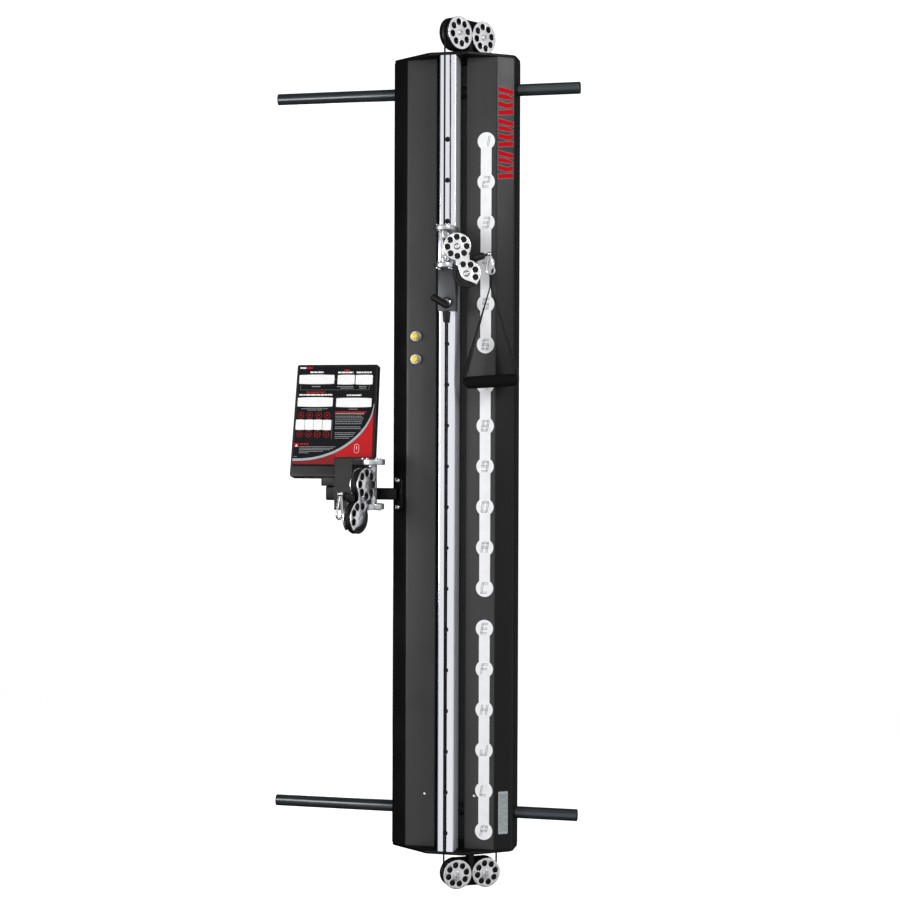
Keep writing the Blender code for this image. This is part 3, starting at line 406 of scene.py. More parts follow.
def sweep(name, points, radius, segments=14, closed=False, angle=60):
    """A round rod or cable along 3-D points; radius is one number or one per point."""
    bm = bmesh.new()
    spots = [Vector(p) for p in points]
    count = len(spots)
    rings = []
    side = None
    for i, here in enumerate(spots):
        ahead = spots[(i + 1) % count] if closed or i < count - 1 else here
        behind = spots[i - 1] if closed or i else here
        run = (ahead - behind).normalized()
        if side is None:
            side = run.orthogonal().normalized()
        side = (side - run * side.dot(run)).normalized()
        other = run.cross(side)
        size = radius[i] if isinstance(radius, (list, tuple)) else radius
        rings.append([bm.verts.new(here + (side * math.cos(t) + other * math.sin(t)) * size)
                      for t in (2 * math.pi * k / segments for k in range(segments))])
    pairs = list(zip(rings, rings[1:])) + ([(rings[-1], rings[0])] if closed else [])
    for a, b in pairs:
        for k in range(segments):
            bm.faces.new((a[k - 1], a[k], b[k], b[k - 1]))
    if not closed:
        bm.faces.new(rings[0])
        bm.faces.new(rings[-1])
    return finish_mesh(bm, name, angle)


def ribbon(name, points, width, across, thick):
    """Flat tape along 3-D points, with UVs in metres; across is its width's direction, one or one per point."""
    bm = bmesh.new()
    layer = bm.loops.layers.uv.new("UVMap")
    spots = [Vector(p) for p in points]
    across = across if isinstance(across, list) else [Vector(across).normalized()] * len(spots)
    rows = []
    travel = 0.0
    for i, here in enumerate(spots):
        ahead = spots[min(i + 1, len(spots) - 1)]
        behind = spots[max(i - 1, 0)]
        if i:
            travel += (here - spots[i - 1]).length
        run = (ahead - behind).normalized()
        up = run.cross(across[i]).normalized()
        ring = []
        for sx, sz, u in ((-0.5, -0.3, 0), (-0.44, -0.5, 0.06), (0.44, -0.5, 0.94), (0.5, -0.3, 1),
                          (0.5, 0.3, 1), (0.44, 0.5, 0.94), (-0.44, 0.5, 0.06), (-0.5, 0.3, 0)):
            ring.append((bm.verts.new(here + across[i] * width * sx + up * thick * sz), u * width, travel))
        rows.append(ring)
    for a, b in zip(rows, rows[1:]):
        for k in range(8):
            four = (a[k - 1], a[k], b[k], b[k - 1])
            face = bm.faces.new([v for v, _, _ in four])
            for corner, (_, u, v) in zip(face.loops, four):
                corner[layer].uv = (u, v)
    for ring in (rows[0], rows[-1]):
        bm.faces.new([v for v, _, _ in ring])
    bmesh.ops.recalc_face_normals(bm, faces=bm.faces)
    return smooth_mesh(bm, name, 50)


def merged(name, parts, angle=38):
    """Several meshes, each with its own matrix, as one mesh."""
    bm = bmesh.new()
    for mesh, matrix in parts:
        before = len(bm.verts)
        bm.from_mesh(mesh)
        bm.verts.ensure_lookup_table()
        bmesh.ops.transform(bm, matrix=matrix, verts=bm.verts[before:])
        bpy.data.meshes.remove(mesh)
    return smooth_mesh(bm, name, angle)


def put(name, mesh, look, body, matrix=None, replaces=()):
    """Places a mesh as one piece of the model, on its body."""
    obj = bpy.data.objects.new(name, mesh)
    bpy.context.scene.collection.objects.link(obj)
    obj.data.materials.clear()
    obj.data.materials.append(M[look])
    obj.matrix_world = matrix or Matrix()
    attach(obj, body)
    if replaces:
        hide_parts(*replaces)
    return obj


def stretchy(name, points, nodes, radius=CABLE):
    """A straight cable run along the given points."""
    obj = bpy.data.objects.new(name, sweep(name, points, radius, 16))
    bpy.context.scene.collection.objects.link(obj)
    obj.data.materials.append(M["jacket"])
    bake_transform(obj)
    if nodes:
        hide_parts(*nodes)
    return obj


def cut(obj, tools, operation="DIFFERENCE"):
    """Applies booleans with tool meshes given in the row frame."""
    for i, mesh in enumerate(tools):
        tool = bpy.data.objects.new(f"tool_{i}", mesh)
        bpy.context.scene.collection.objects.link(tool)
        mod = obj.modifiers.new("cut", "BOOLEAN")
        mod.operation = operation
        mod.solver = "EXACT"
        mod.object = tool
        bpy.context.view_layer.update()
        graph = bpy.context.evaluated_depsgraph_get()
        result = bpy.data.meshes.new_from_object(obj.evaluated_get(graph))
        obj.modifiers.remove(mod)
        old = obj.data
        obj.data = result
        bpy.data.meshes.remove(old)
        bpy.data.objects.remove(tool)
        bpy.data.meshes.remove(mesh)
    obj.data.shade_smooth()
    obj.data.set_sharp_from_angle(angle=math.radians(38))
    return obj


def placed(mesh, matrix):
    mesh.transform(matrix)
    return mesh


def along(direction, at):
    return Matrix.Translation(at) @ Vector(direction).to_track_quat("Z", "Y").to_matrix().to_4x4()


def basis(x, y, z, at):
    return Matrix.Translation(at) @ Matrix((x, y, z)).transposed().to_4x4()


def bolt_mesh(name, radius, height, segments=20):
    """Domed button head with a socket, base at z = 0."""
    profile = [(0.0, height * 0.45), (radius * 0.42, height * 0.45), (radius * 0.42, height * 0.96),
               (radius * 0.62, height), (radius * 0.86, height * 0.72), (radius, height * 0.25),
               (radius, 0.0), (0.0, 0.0)]
    return lathe(name, profile, segments, 30)


def cap_bolt_mesh(name, radius, height, segments=24):
    """Flat socket-head screw with a chamfered rim, base at z = 0."""
    profile = [(0.0, height * 0.35), (radius * 0.48, height * 0.35), (radius * 0.52, height),
               (radius * 0.86, height), (radius, height * 0.8), (radius, 0.0), (0.0, 0.0)]
    return lathe(name, profile, segments, 30)


IDENTITY = Matrix()
FRONT = basis(Vector((1, 0, 0)), Vector((0, 0, 1)), Vector((0, -1, 0)), (0, 0, 0))

# ---------------------------------------------------------------- camera, light and floor


def camera():
    yaw, pitch, roll = 0.2265, -0.0088, 0.0037
    forward = Vector((-math.sin(yaw) * math.cos(pitch), math.cos(yaw) * math.cos(pitch), math.sin(pitch)))
    level = Vector((math.cos(yaw), math.sin(yaw), 0))
    up = level.cross(forward)
    right = level * math.cos(roll) + up * math.sin(roll)
    top = up * math.cos(roll) - level * math.sin(roll)
    data = bpy.data.cameras.new("camera")
    data.lens = 70.75
    data.sensor_width = 36.0
    data.clip_end = 60.0
    obj = bpy.data.objects.new("camera", data)
    bpy.context.scene.collection.objects.link(obj)
    obj.matrix_world = basis(right, top, -forward, (1.0578, -4.6991, 0.0517))
    bpy.context.scene.camera = obj


def lamp(name, at, target, size, power, colour=(1, 1, 1)):
    data = bpy.data.lights.new(name, "AREA")
    data.shape = "RECTANGLE"
    data.size, data.size_y = size
    data.energy = power
    data.color = colour
    obj = bpy.data.objects.new(name, data)
    bpy.context.scene.collection.objects.link(obj)
    direction = Vector(target) - Vector(at)
    obj.matrix_world = Matrix.Translation(at) @ direction.to_track_quat("-Z", "Y").to_matrix().to_4x4()


def studio():
    scene = bpy.context.scene
    scene.view_settings.view_transform = "Standard"
    scene.view_settings.look = "None"
    world = bpy.data.worlds.new("studio")
    scene.world = world
    world.use_nodes = True
    tree = world.node_tree
    back = tree.nodes["Background"]
    where = add_node(tree, "TexCoord")
    split = add_node(tree, "SeparateXYZ")
    link(tree, where.outputs["Generated"], split.inputs["Vector"])
    total = None
    for axis, low, high, dim, bright in (("Y", -0.62, -0.97, 0.02, 1.0), ("X", 0.45, 0.97, 0.0, 0.80),
                                         ("Y", 0.75, 1.0, 0.0, 0.03)):
        ramp = add_node(tree, "MapRange", From_Min=low, From_Max=high, To_Min=dim, To_Max=bright)
        ramp.interpolation_type = "SMOOTHSTEP"
        link(tree, split.outputs[axis], ramp.inputs["Value"])
        glow = ramp.outputs["Result"]
        total = glow if total is None else add_math(tree, "ADD", total, glow)
    link(tree, total, back.inputs["Color"])
    plain = add_node(tree, "Background", Color=(1, 1, 1, 1))
    path = add_node(tree, "LightPath")
    either = add_node(tree, "MixShader")
    link(tree, path.outputs["Is Camera Ray"], either.inputs["Fac"])
    link(tree, back.outputs["Background"], either.inputs[1])
    link(tree, plain.outputs["Background"], either.inputs[2])
    link(tree, either.outputs["Shader"], tree.nodes["World Output"].inputs["Surface"])
    lamp("left_box", (-2.6, -3.8, 0.2), (0, 0, 0), (2.0, 1.8), 102)
    lamp("upper_right_box", (2.9, -2.4, 1.9), (0.15, -0.1, 0.9), (1.0, 1.2), 62)
    lamp("top_box", (0.2, -1.6, 3.4), (0, 0, 0.8), (1.6, 1.0), 5)
    lamp("rear_box", (-2.4, 3.4, 0.1), (0, 0, 0), (2.2, 2.2), 75)
    mat = surface("pale_floor", (0.60, 0.60, 0.60), 0.9, spread=0.01, patch=1.0, grain=40, depth=0.0002)
    set_inputs(mat.node_tree.nodes["Principled BSDF"], Emission_Color=(1, 1, 1, 1), Emission_Strength=0.88)
    bm = bmesh.new()
    rows = [(-9.0, -1.5), (5.0, -1.5)] + [(5.0 + 3.0 * math.sin(t), 1.5 - 3.0 * math.cos(t))
                                          for t in (math.pi / 2 * k / 12 for k in range(1, 13))] + [(8.0, 9.0)]
    strips = [[bm.verts.new((x, y, z)) for x in (-14.0, 14.0)] for y, z in rows]
    for one, two in zip(strips, strips[1:]):
        bm.faces.new((one[0], one[1], two[1], two[0]))
    floor = bpy.data.objects.new("floor", finish_mesh(bm, "floor", 60))
    scene.collection.objects.link(floor)
    floor.data.materials.append(mat)
    floor.visible_diffuse = False
    floor.visible_glossy = False


camera()
studio()

# ---------------------------------------------------------------- column


def shell_line():
    return [(HALF_WIDTH, -0.0033), (HALF_WIDTH, SIDE_FRONT), (PANEL_HALF, PANEL_FRONT),
            (RECESS_HALF, PANEL_FRONT), (RECESS_HALF, -0.076)]


def offset_open(points, distance):
    moved = []
    for i, point in enumerate(points):
        here = Vector(point)
        sides = []
        if i:
            sides.append((here - Vector(points[i - 1])).normalized())
        if i + 1 < len(points):
            sides.append((Vector(points[i + 1]) - here).normalized())
        normals = [Vector((-s.y, s.x)) for s in sides]
        mean = sum(normals, Vector((0, 0))).normalized()
        moved.append(tuple(here + mean * distance / mean.dot(normals[0])))
    return moved


def shell(name, side, node):
    """Folded sheet with rounded bends, from the side wall to the recess beside the rail."""
    outer = rounded(shell_line(), 0.0042, closed=False, steps=5)
    inner = offset_open(outer, -SHEET)
    outline = [(side * x, y) for x, y in outer + inner[::-1]]
    obj = put(name, slab(name, outline, -BODY_TOP, BODY_TOP), "shell", "root", replaces=(node,))
    tools = []
    for z in BAR_Z.values():
        tools.append(placed(lathe("t", box(0, 0.0163, -0.02, 0.02), 32),
                            along((1, 0, 0), (side * HALF_WIDTH, BAR_Y, z))))
    if side < 0:
        for z in BUTTON_Z.values():
            tools.append(placed(lathe("t", box(0, 0.0113, -0.01, 0.01), 32),
                                along((0, -1, 0), (BUTTON_X, PANEL_FRONT, z))))
    return cut(obj, tools)


def rail():
    """Chrome box section with rounded corners and a row of countersunk selector holes."""
    half = 0.0225
    hollow = half - 0.003
    outer = rounded(box(-half, half, RAIL_FRONT, -0.091), 0.0045, steps=6)
    inner = rounded(box(-hollow, hollow, RAIL_FRONT + 0.003, -0.094), 0.002, steps=3)
    obj = put("rail_tube", slab("rail_tube", outer, -BODY_TOP, BODY_TOP, [inner], angle=30), "rail", "root",
              replaces=("rail",))
    parts = []
    for i in range(18):
        profile = [(0, -0.008), (0.0062, -0.008), (0.0062, -0.0008), (0.0078, 0.0006), (0.0078, 0.008),
                   (0, 0.008)]
        parts.append((lathe("t", profile, 28), along((0, -1, 0), (0, RAIL_FRONT, HOLE_TOP - i * HOLE_PITCH))))
    cut(obj, [merged("t", parts)])
    # Near-black sheet inside the rail, behind the selector holes: painted shade that keeps the holes dark.
    hole_shade = box(-half + 0.0034, half - 0.0034, RAIL_FRONT + 0.0060, RAIL_FRONT + 0.0072)
    put("rail_hole_shade_sheet", slab("rail_hole_shade_sheet", hole_shade, -1.050, 1.050), "dark", "root")


def cap_outline():
    right = [(0.051, CAP_FRONT), (HALF_WIDTH, SIDE_FRONT), (HALF_WIDTH, 0.0)]
    sizes = [0.006, 0.012, 0.004]
    return rounded(right + [(-x, y) for x, y in right[::-1]], sizes + sizes[::-1], steps=4)


def end_caps():
    for level, low in (("top", 1.052), ("bottom", -1.060)):
        mesh = slab(f"{level}_end_cap", cap_outline(), low, low + 0.008, edge=0.0012)
        put(f"{level}_end_cap", mesh, "black", "root", replaces=(f"{level}_cap",))


def cross_bars():
    for level, z in BAR_Z.items():
        mesh = lathe(f"{level}_bar", box(BAR_BORE, BAR_RADIUS, 0, BAR_LENGTH), 48, edge=0.0012)
        put(f"{level}_bar", mesh, "bar", "root", along((1, 0, 0), (BAR_LEFT, BAR_Y, z)),
            (f"{level}_cross_bar",))


def chamfer_basis(side, z):
    """On a chamfer: local X across it towards the rear side on the right, local Y up, local Z outwards."""
    across = Vector((HALF_WIDTH - PANEL_HALF, side * (SIDE_FRONT - PANEL_FRONT), 0)).normalized()
    up = Vector((0, 0, 1))
    middle = (side * (HALF_WIDTH + PANEL_HALF) / 2, (SIDE_FRONT + PANEL_FRONT) / 2, z)
    return basis(across, up, across.cross(up), middle)


def panel_screws():
    parts = [(bolt_mesh("t", 0.0042, 0.0022), along((0, -1, 0), (x, PANEL_FRONT, -0.911)))
             for x in (-0.068, 0.068)]
    put("panel_screws", merged("panel_screws", parts), "steel", "root")
    parts = [(bolt_mesh("t", 0.0078, 0.0055, 28), chamfer_basis(-1, z) @ Matrix.Translation((0, 0, 0.0074)))
             for z in (-0.073, -0.145)]
    put("arm_foot_screws", merged("arm_foot_screws", parts), "steel", "root")


def perforation():
    """Row of small punched slots down the right side wall, near its back edge."""
    parts = []
    z = -1.030
    while z < 1.031:
        if min(abs(z - b) for b in BAR_Z.values()) > 0.026:
            mesh = slab("t", rounded(box(-0.0022, 0.0022, -0.0030, 0.0030), 0.002, steps=2), 0.0, 0.00025)
            parts.append((mesh, along((1, 0, 0), (HALF_WIDTH, -0.036, z))))
        z += 0.0120
    put("side_perforation", merged("side_perforation", parts), "pale_metal", "root")


SEGMENTS = {
    "1": "bc", "2": "abged", "3": "abgcd", "4": "fgbc", "5": "afgcd", "6": "afgecd", "7": "abc", "8": "abcdefg",
    "9": "abcdfg", "0": "abcdef", "A": "abcefg", "C": "afed", "E": "afged", "F": "afge", "H": "febcg", "J": "bcde",
    "L": "fed", "P": "abfge",
}
GLYPH_HALF_W = 0.0068
GLYPH_HALF_H = 0.0125


def glyph_parts(letter, centre):
    """Outlined seven-segment figure, leaning right, in the panel's plane."""
    w, h = GLYPH_HALF_W, GLYPH_HALF_H
    ends = {"a": ((-w, h), (w, h)), "b": ((w, h), (w, 0)), "c": ((w, 0), (w, -h)), "d": ((-w, -h), (w, -h)),
            "e": ((-w, 0), (-w, -h)), "f": ((-w, h), (-w, 0)), "g": ((-w, 0), (w, 0))}
    parts = []
    for key in SEGMENTS[letter]:
        (x0, y0), (x1, y1) = ends[key]
        run = (Vector((x1, y1)) - Vector((x0, y0))).normalized()
        side = Vector((-run.y, run.x))
        for off in (-0.0019, 0.0019):
            a = Vector((x0, y0)) + side * off - run * 0.0014
            b = Vector((x1, y1)) + side * off + run * 0.0014
            stroke = [a - side * 0.0006, b - side * 0.0006, b + side * 0.0006, a + side * 0.0006]
            leaned = [(p.x + p.y * 0.16 + centre[0], p.y + centre[1]) for p in stroke]
            parts.append((slab("t", leaned, 0.0, 0.00010), Matrix.Translation((0, 0, 0.00036))))
    return parts


def labels():
    """Position labels: round spots joined by bars in three groups, with one figure each."""
    plane = FRONT.copy()
    plane.translation = (0, PANEL_FRONT, 0)
    spots, figures = [], []
    x = 0.094
    for group in range(3):
        zs = [HOLE_TOP - (group * 6 + i) * HOLE_PITCH for i in range(6)]
        half = 0.0145
        radius = 0.0235
        dip = math.degrees(math.asin(half / radius))
        right, left = [], []
        for i, z in enumerate(zs):
            right += arc((x, z), radius, 90 - dip if i else 90, -90 + dip if i < 5 else -90, 14)
            left += arc((x, z), radius, 90 + dip if i else 90, 270 - dip if i < 5 else 270, 14)
        loop = distinct(right + left[::-1], 1e-6)
        if (Vector(loop[0]) - Vector(loop[-1])).length < 1e-6:
            loop.pop()
        spots.append((slab("t", loop, 0.00002, 0.0003), IDENTITY))
        for i, z in enumerate(zs):
            figures += glyph_parts("1234567890ACEFHJLP"[group * 6 + i], (x, z))
    put("position_labels", merged("position_labels", spots), "decal", "root", plane)
    put("position_figures", merged("position_figures", figures), "glyph", "root", plane)


def side_graphic():
    """Generic red stripe-and-chevron mark on the right chamfer, with a teal-grey rim."""
    place = chamfer_basis(1, 0.0)
    raised = Matrix.Translation((0, 0, 0.0003))
    red, rim = [], []
    w = 0.0215
    top, bottom = 0.980, 0.727
    count = 6
    step = (top - bottom) / count
    for i in range(count):
        z1 = top - i * step - 0.0025
        z0 = top - (i + 1) * step + 0.0025
        mid = (z0 + z1) / 2
        if i % 2 == 0:
            shapes = [
                [(-w, z1 - 0.004), (w, z1 - 0.012), (w, z1 - 0.024), (-w, z1 - 0.016)],
                [(-w, z0 + 0.014), (0.002, mid - 0.006), (w, z0 + 0.004), (w, z0 - 0.001), (-w, z0 + 0.003)],
            ]
        else:
            shapes = [
                [(-w, z1), (0.004, z1 - 0.006), (w, z1 - 0.001), (w, z1 - 0.013), (0.004, z1 - 0.018),
                 (-w, z1 - 0.012)],
                [(-w, z0 + 0.012), (w, z0 + 0.017), (w, z0 + 0.004), (-w, z0)],
            ]
        for shape in shapes:
            red.append((slab("t", rounded(shape, 0.0015, steps=2), 0.0, 0.00012), raised))
            wide = inset(shape if area(shape) > 0 else shape[::-1], -0.0018)
            wide = [(max(-w - 0.001, min(w + 0.001, x)), y) for x, y in wide]
            rim.append((slab("t", wide, 0.00003, 0.00020), IDENTITY))
    put("side_mark_rim", merged("side_mark_rim", rim), "teal", "root", place)
    put("side_mark", merged("side_mark", red), "mark_red", "root", place)
    label = slab("t", rounded(box(-0.0135, 0.0135, -1.011, -0.898), 0.002), 0.00003, 0.00025)
    put("rating_label", merged("rating_label", [(label, IDENTITY)]), "silver", "root", place)
    lines = []
    rng = random.Random(7)
    for k in range(9):
        x = -0.0108 + 0.0027 * k
        z = -0.904
        while z > -1.002:
            run = rng.uniform(0.006, 0.018)
            end = max(z - run, -1.005)
            lines.append((slab("t", box(x, x + 0.0011, end, z), 0.0, 0.0001), raised))
            z = end - 0.004
    put("rating_label_lines", merged("rating_label_lines", lines), "glyph", "root", place)


shell("column_shell_left", -1, "left_shell")
shell("column_shell_right", 1, "right_shell")
rail()
end_caps()
cross_bars()
panel_screws()
perforation()
labels()
side_graphic()

# ---------------------------------------------------------------- pulleys


def sheave(name, radius, half, groove, bore):
    """Nylon wheel: round groove floor, rounded lips, dished web with a hub."""
    lip = half * 0.78
    floor = arc((groove + CABLE, 0.0), CABLE * 1.05, -150, -210, 6)
    profile = [(bore, -half), (bore + 0.006, -half), (bore + 0.008, -half * 0.62),
               (radius * 0.72, -half * 0.62), (radius * 0.78, -half), (radius - 0.0012, -half), (radius, -lip)]
    profile += floor
    profile += [(radius, lip), (radius - 0.0012, half), (radius * 0.78, half), (radius * 0.72, half * 0.62),
                (bore + 0.008, half * 0.62), (bore + 0.006, half), (bore, half)]
    return lathe(name, profile, 56, 35)


def station_plan(level):
    facts = STATION[level]
    turn = math.radians(facts["turn"])
    run = Vector((math.sin(turn), -math.cos(turn)))
    start = Vector(facts["start"])
    first = start + run * facts["pitch"]
    return run, start, first, first + run * facts["spread"]


def station_basis(level, at):
    run = station_plan(level)[0]
    x = Vector((run.x, run.y, 0))
    up = Vector((0, 0, 1))
    return basis(x, up, x.cross(up), (at[0], at[1], STATION[level]["z"]))


def disc_mesh(name, radius, low, high):
    """Machined cover disc: eight holes and rounded edges."""
    holes = [circle(c, radius * 0.20, 24) for c in circle((0, 0), radius * 0.65, 8, math.radians(12))]
    return slab(name, circle((0, 0), radius, 72), low, high, holes, edge=0.0008, steps=2)


def stations():
    for level in ("top", "bottom"):
        disc, pitch = STATION[level]["disc"], STATION[level]["pitch"]
        for which, at in zip(("front", "rear"), station_plan(level)[2:]):
            name = f"{level}_{which}"
            place = station_basis(level, at)
            put(f"{name}_disc", disc_mesh("d", disc, 0.0135, 0.0175), "aluminium", "root", place,
                (f"{name}_guard",))
            mesh = sheave("s", disc - 0.0008, 0.0122, pitch - CABLE, 0.0043)
            put(f"{name}_wheel", mesh, "nylon", f"{name}_wheel", place, (f"{name}_sheave",))
            bolt = merged("b", [(cap_bolt_mesh("t", 0.0078, 0.0030), place @ Matrix.Translation((0, 0, 0.0174))),
                                (lathe("t", box(0, 0.004, -0.0132, 0.0176), 20), place)])
            put(f"{name}_axle", bolt, "steel", "root")
            edge = box(disc - 0.0004, disc + 0.0003, -0.0176, -0.0150)
            put(f"{name}_rear_rim", lathe("r", edge, 72), "aluminium", "root", place)


def loop_points(level):
    """The cable over (or under) both wheels and into the column."""
    run, start, first, second = station_plan(level)
    sign = 1 if level == "top" else -1
    pitch, z = STATION[level]["pitch"], STATION[level]["z"]
    drop = second + run * pitch
    route = [(start.x, start.y, z - sign * 0.002)]
    quarter = math.pi / 2
    for wheel, begin in ((first, math.pi), (second, quarter)):
        for i in range(17):
            t = begin - quarter * i / 16
            spot = wheel + run * pitch * math.cos(t)
            route.append((spot.x, spot.y, z + sign * pitch * math.sin(t)))
    route.append((drop.x, drop.y, 1.0 if level == "top" else -0.9003))
    return route


def station_cables():
    for level in ("top", "bottom"):
        mesh = sweep("c", loop_points(level), CABLE, 14)
        put(f"{level}_loop_cable", mesh, "jacket", "root", replaces=(f"{level}_cable_bend",))


stations()
station_cables()

# ---------------------------------------------------------------- pulley heads


def head_basis(swivel, turn):
    return Matrix.Translation(swivel) @ Matrix.Rotation(turn - math.pi / 2, 4, "Z")


def plate_basis(place):
    return place @ Matrix.Rotation(math.pi / 2, 4, "X")


def head_outline(s):
    upper = arc(UPPER_AXLE, 0.0360, -33, 264, 56)
    left = rounded([upper[-1], (0.0308, -0.0475), (0.0360, -0.0520), (0.0410, -0.0660), (0.0440, -0.0780),
                    (0.0540, -0.0868), (0.0680, -0.0910), (0.0850, -0.0980)], 0.006, closed=False,
                   steps=4)[1:]
    right = arc(LOWER_AXLE, 0.0372, -35, 78, 24)
    return [(x * s, z * s) for x, z in distinct(upper + left + right, 4e-4)]


def head_holes(s, count=22):
    upper = circle(UPPER_AXLE, 0.0250, 8, math.radians(2))
    lower = [arc(LOWER_AXLE, 0.0256, a, a, 1)[0] for a in (110, 65, 24, -21)]
    return [circle((x * s, z * s), 0.0079 * s, count) for x, z in upper + lower]


def exit_points(s):
    """Cable exit, its direction and the hook's eye in the head's XZ plane."""
    tangent = Vector(arc(LOWER_AXLE, CORD_PITCH, 90 + math.degrees(EXIT_TILT), 106, 1)[0])
    run = Vector((math.cos(EXIT_TILT), math.sin(EXIT_TILT)))
    return tangent * s, run, (tangent + run * EYE_REACH) * s


def to_world(place, x, z, y=0.0):
    return place @ Vector((x, y, z))


def head(prefix, swivel, turn, s, bodies):
    place = head_basis(swivel, turn)
    flat = plate_basis(place)
    body, upper_body, lower_body, end_body, hook_body = bodies
    outer, inner = 0.0110 * s, 0.0075 * s
    rear = -outer - 0.0012 * s
    for side, low, high in (("front", inner, outer), ("rear", -outer, -inner)):
        mesh = slab("p", head_outline(s), low, high, head_holes(s), edge=0.0007 * s, steps=2)
        put(f"{prefix}_{side}_cheek", mesh, "aluminium", body, flat, (f"{prefix}_{side}_plate",))
    for label, (x, z), name in (("upper", UPPER_AXLE, upper_body), ("lower", LOWER_AXLE, lower_body)):
        spot = flat @ Matrix.Translation((x * s, z * s, 0))
        mesh = sheave("s", 0.0356 * s, 0.0068 * s, (CORD_PITCH - CABLE) * s, 0.0043 * s)
        put(f"{prefix}_{label}_wheel", mesh, "nylon", name, spot, (f"{prefix}_{label}_sheave",))
        parts = [(cap_bolt_mesh("t", 0.0058 * s, 0.0024 * s, 28),
                  spot @ Matrix.Translation((0, 0, outer - 0.0001))),
                 (lathe("t", [(0, rear), (0.0070 * s, rear), (0.0070 * s, -outer), (0.0040 * s, -outer),
                              (0.0040 * s, outer), (0, outer)], 24), spot)]
        put(f"{prefix}_{label}_axle", merged("a", parts), "steel", body)
        washer = box(0.0056 * s, 0.0086 * s, outer - 0.0001, outer + 0.0007)
        put(f"{prefix}_{label}_washer", lathe("w", washer, 32), "gunmetal", body, spot)
    yoke(prefix, place, flat, s, body)
    stop_and_hook(prefix, place, flat, s, end_body, hook_body)
    return place


def yoke(prefix, place, flat, s, body):
    """Swivel piece: two round knuckles on the swivel pin and a cast web between the cheeks."""
    top = 0.0421 * s
    web = top - 0.003 * s
    upper = [(-0.005 * s, 0.020 * s), (0.006 * s, 0.024 * s), (0.014 * s, 0.030 * s), (0.010 * s, web),
             (-0.010 * s, web)]
    outline = rounded([(x, -z) for x, z in upper[::-1]] + upper, 0.003 * s, steps=3)
    half = 0.0071 * s
    parts = [(slab("y", outline, -half, half, edge=0.0008 * s), flat)]
    for sign in (-1, 1):
        low, high = sorted((sign * 0.0265 * s, sign * top))
        knuckle = [(0.0036 * s, low), (0.0095 * s, low), (0.0108 * s, (low + high) / 2), (0.0095 * s, high),
                   (0.0036 * s, high)]
        parts.append((lathe("k", knuckle, 32), place))
        parts.append((bolt_mesh("b", 0.0048 * s, 0.004 * s, 18),
                      flat @ Matrix.Translation((0.0015 * s, sign * 0.0335 * s, 0.0095 * s))))
    put(f"{prefix}_swivel_yoke", merged("yoke", parts), "cast", body, replaces=(f"{prefix}_yoke",))


def stop_and_hook(prefix, place, flat, s, end_body, hook_body):
    tangent, run, eye = exit_points(s)
    direction = (place.to_3x3() @ Vector((run.x, 0, run.y))).normalized()
    origin = to_world(place, tangent.x, tangent.y)
    start = 0.0279 * s
    profile = [(0.0, start), (0.0072 * s, start), (0.0098 * s, start + 0.0030 * s),
               (0.0098 * s, start + 0.0240 * s),
               (0.0080 * s, start + 0.0290 * s), (0.0058 * s, start + 0.0320 * s),
               (0.0034 * s, start + 0.0325 * s), (0.0034 * s, 0.0655 * s), (0.0, 0.0655 * s)]
    put(f"{prefix}_rubber_stop", lathe("r", profile, 36, 30), "rubber", end_body, along(direction, origin),
        (f"{prefix}_stop",))
    tail = [origin + direction * (start * k / 12 + 0.001 * s * (k / 6 - 1)) for k in range(13)]
    stretchy(f"{prefix}_cable_tail", tail, (),
             CABLE * s * 0.95)
    hook(prefix, place, flat, s, eye, hook_body)


def hook_arc(eye, s, part, start, end, count):
    """Arc of the hook's rod: its bail at the top or its round foot."""
    if part == "bail":
        return arc((eye.x, eye.y - BAIL_DROP * s), BAIL_RADIUS * s, start, end, count)
    return arc((eye.x + BAIL_RADIUS * s, eye.y - HOOK_DROP * s), HOOK_RADIUS * s, start, end, count)


def hook(prefix, place, flat, s, eye, body):
    """Snap hook: ball swivel, bail and a pear-shaped body of forged rod."""
    loop = hook_arc(eye, s, "bail", 20, 160, 12) + hook_arc(eye, s, "foot", 170, 370, 30)
    path = [flat @ Vector((x, z, 0)) for x, z in loop]
    parts = [(sweep("w", path, HOOK_WIRE * s, 16, closed=prefix == "arm_head"), IDENTITY)]
    ball = [(0.0062 * s * math.sin(t), -0.0062 * s * math.cos(t))
            for t in (math.pi * k / 16 for k in range(17))]
    ball = [(max(0.0, r), z) for r, z in ball]
    ball[0], ball[-1] = (0.0, ball[0][1]), (0.0, ball[-1][1])
    parts.append((lathe("b", ball, 28), place @ Matrix.Translation((eye.x, 0, eye.y))))
    put(f"{prefix}_snap_hook", merged("h", parts, 50), "steel", body, replaces=(f"{prefix}_hook",))


main_place = head("head", SWIVEL, HEAD_TURN, 1.0,
                  ("head", "head_upper_wheel", "head_lower_wheel", "head_end", "handle"))
head("arm_head", ARM_SWIVEL, ARM_HEAD_TURN, ARM_HEAD_SCALE,
     ("arm_head", "arm_upper_wheel", "arm_lower_wheel", "arm_end", "arm_hook"))


def head_cables():
    """The cable between each head's cheeks, from the swivel axis to the exit."""
    for prefix, swivel, turn, s, nodes in (("head", SWIVEL, HEAD_TURN, 1.0, ("head_cable",)),
                                           ("arm_head", ARM_SWIVEL, ARM_HEAD_TURN, ARM_HEAD_SCALE, ())):
        place = head_basis(swivel, turn)
        route = [(0.0, 0.0421), (0.0, 0.030), (0.0, 0.012)]
        route += arc(UPPER_AXLE, CORD_PITCH, 180, 286, 24)
        route += arc(LOWER_AXLE, CORD_PITCH, 118, 106, 6)
        points = [to_world(place, x * s, z * s) for x, z in route]
        put(f"{prefix}_inner_cable", sweep("c", points, CABLE * s * 0.98, 14), "jacket", prefix,
            replaces=nodes)


head_cables()


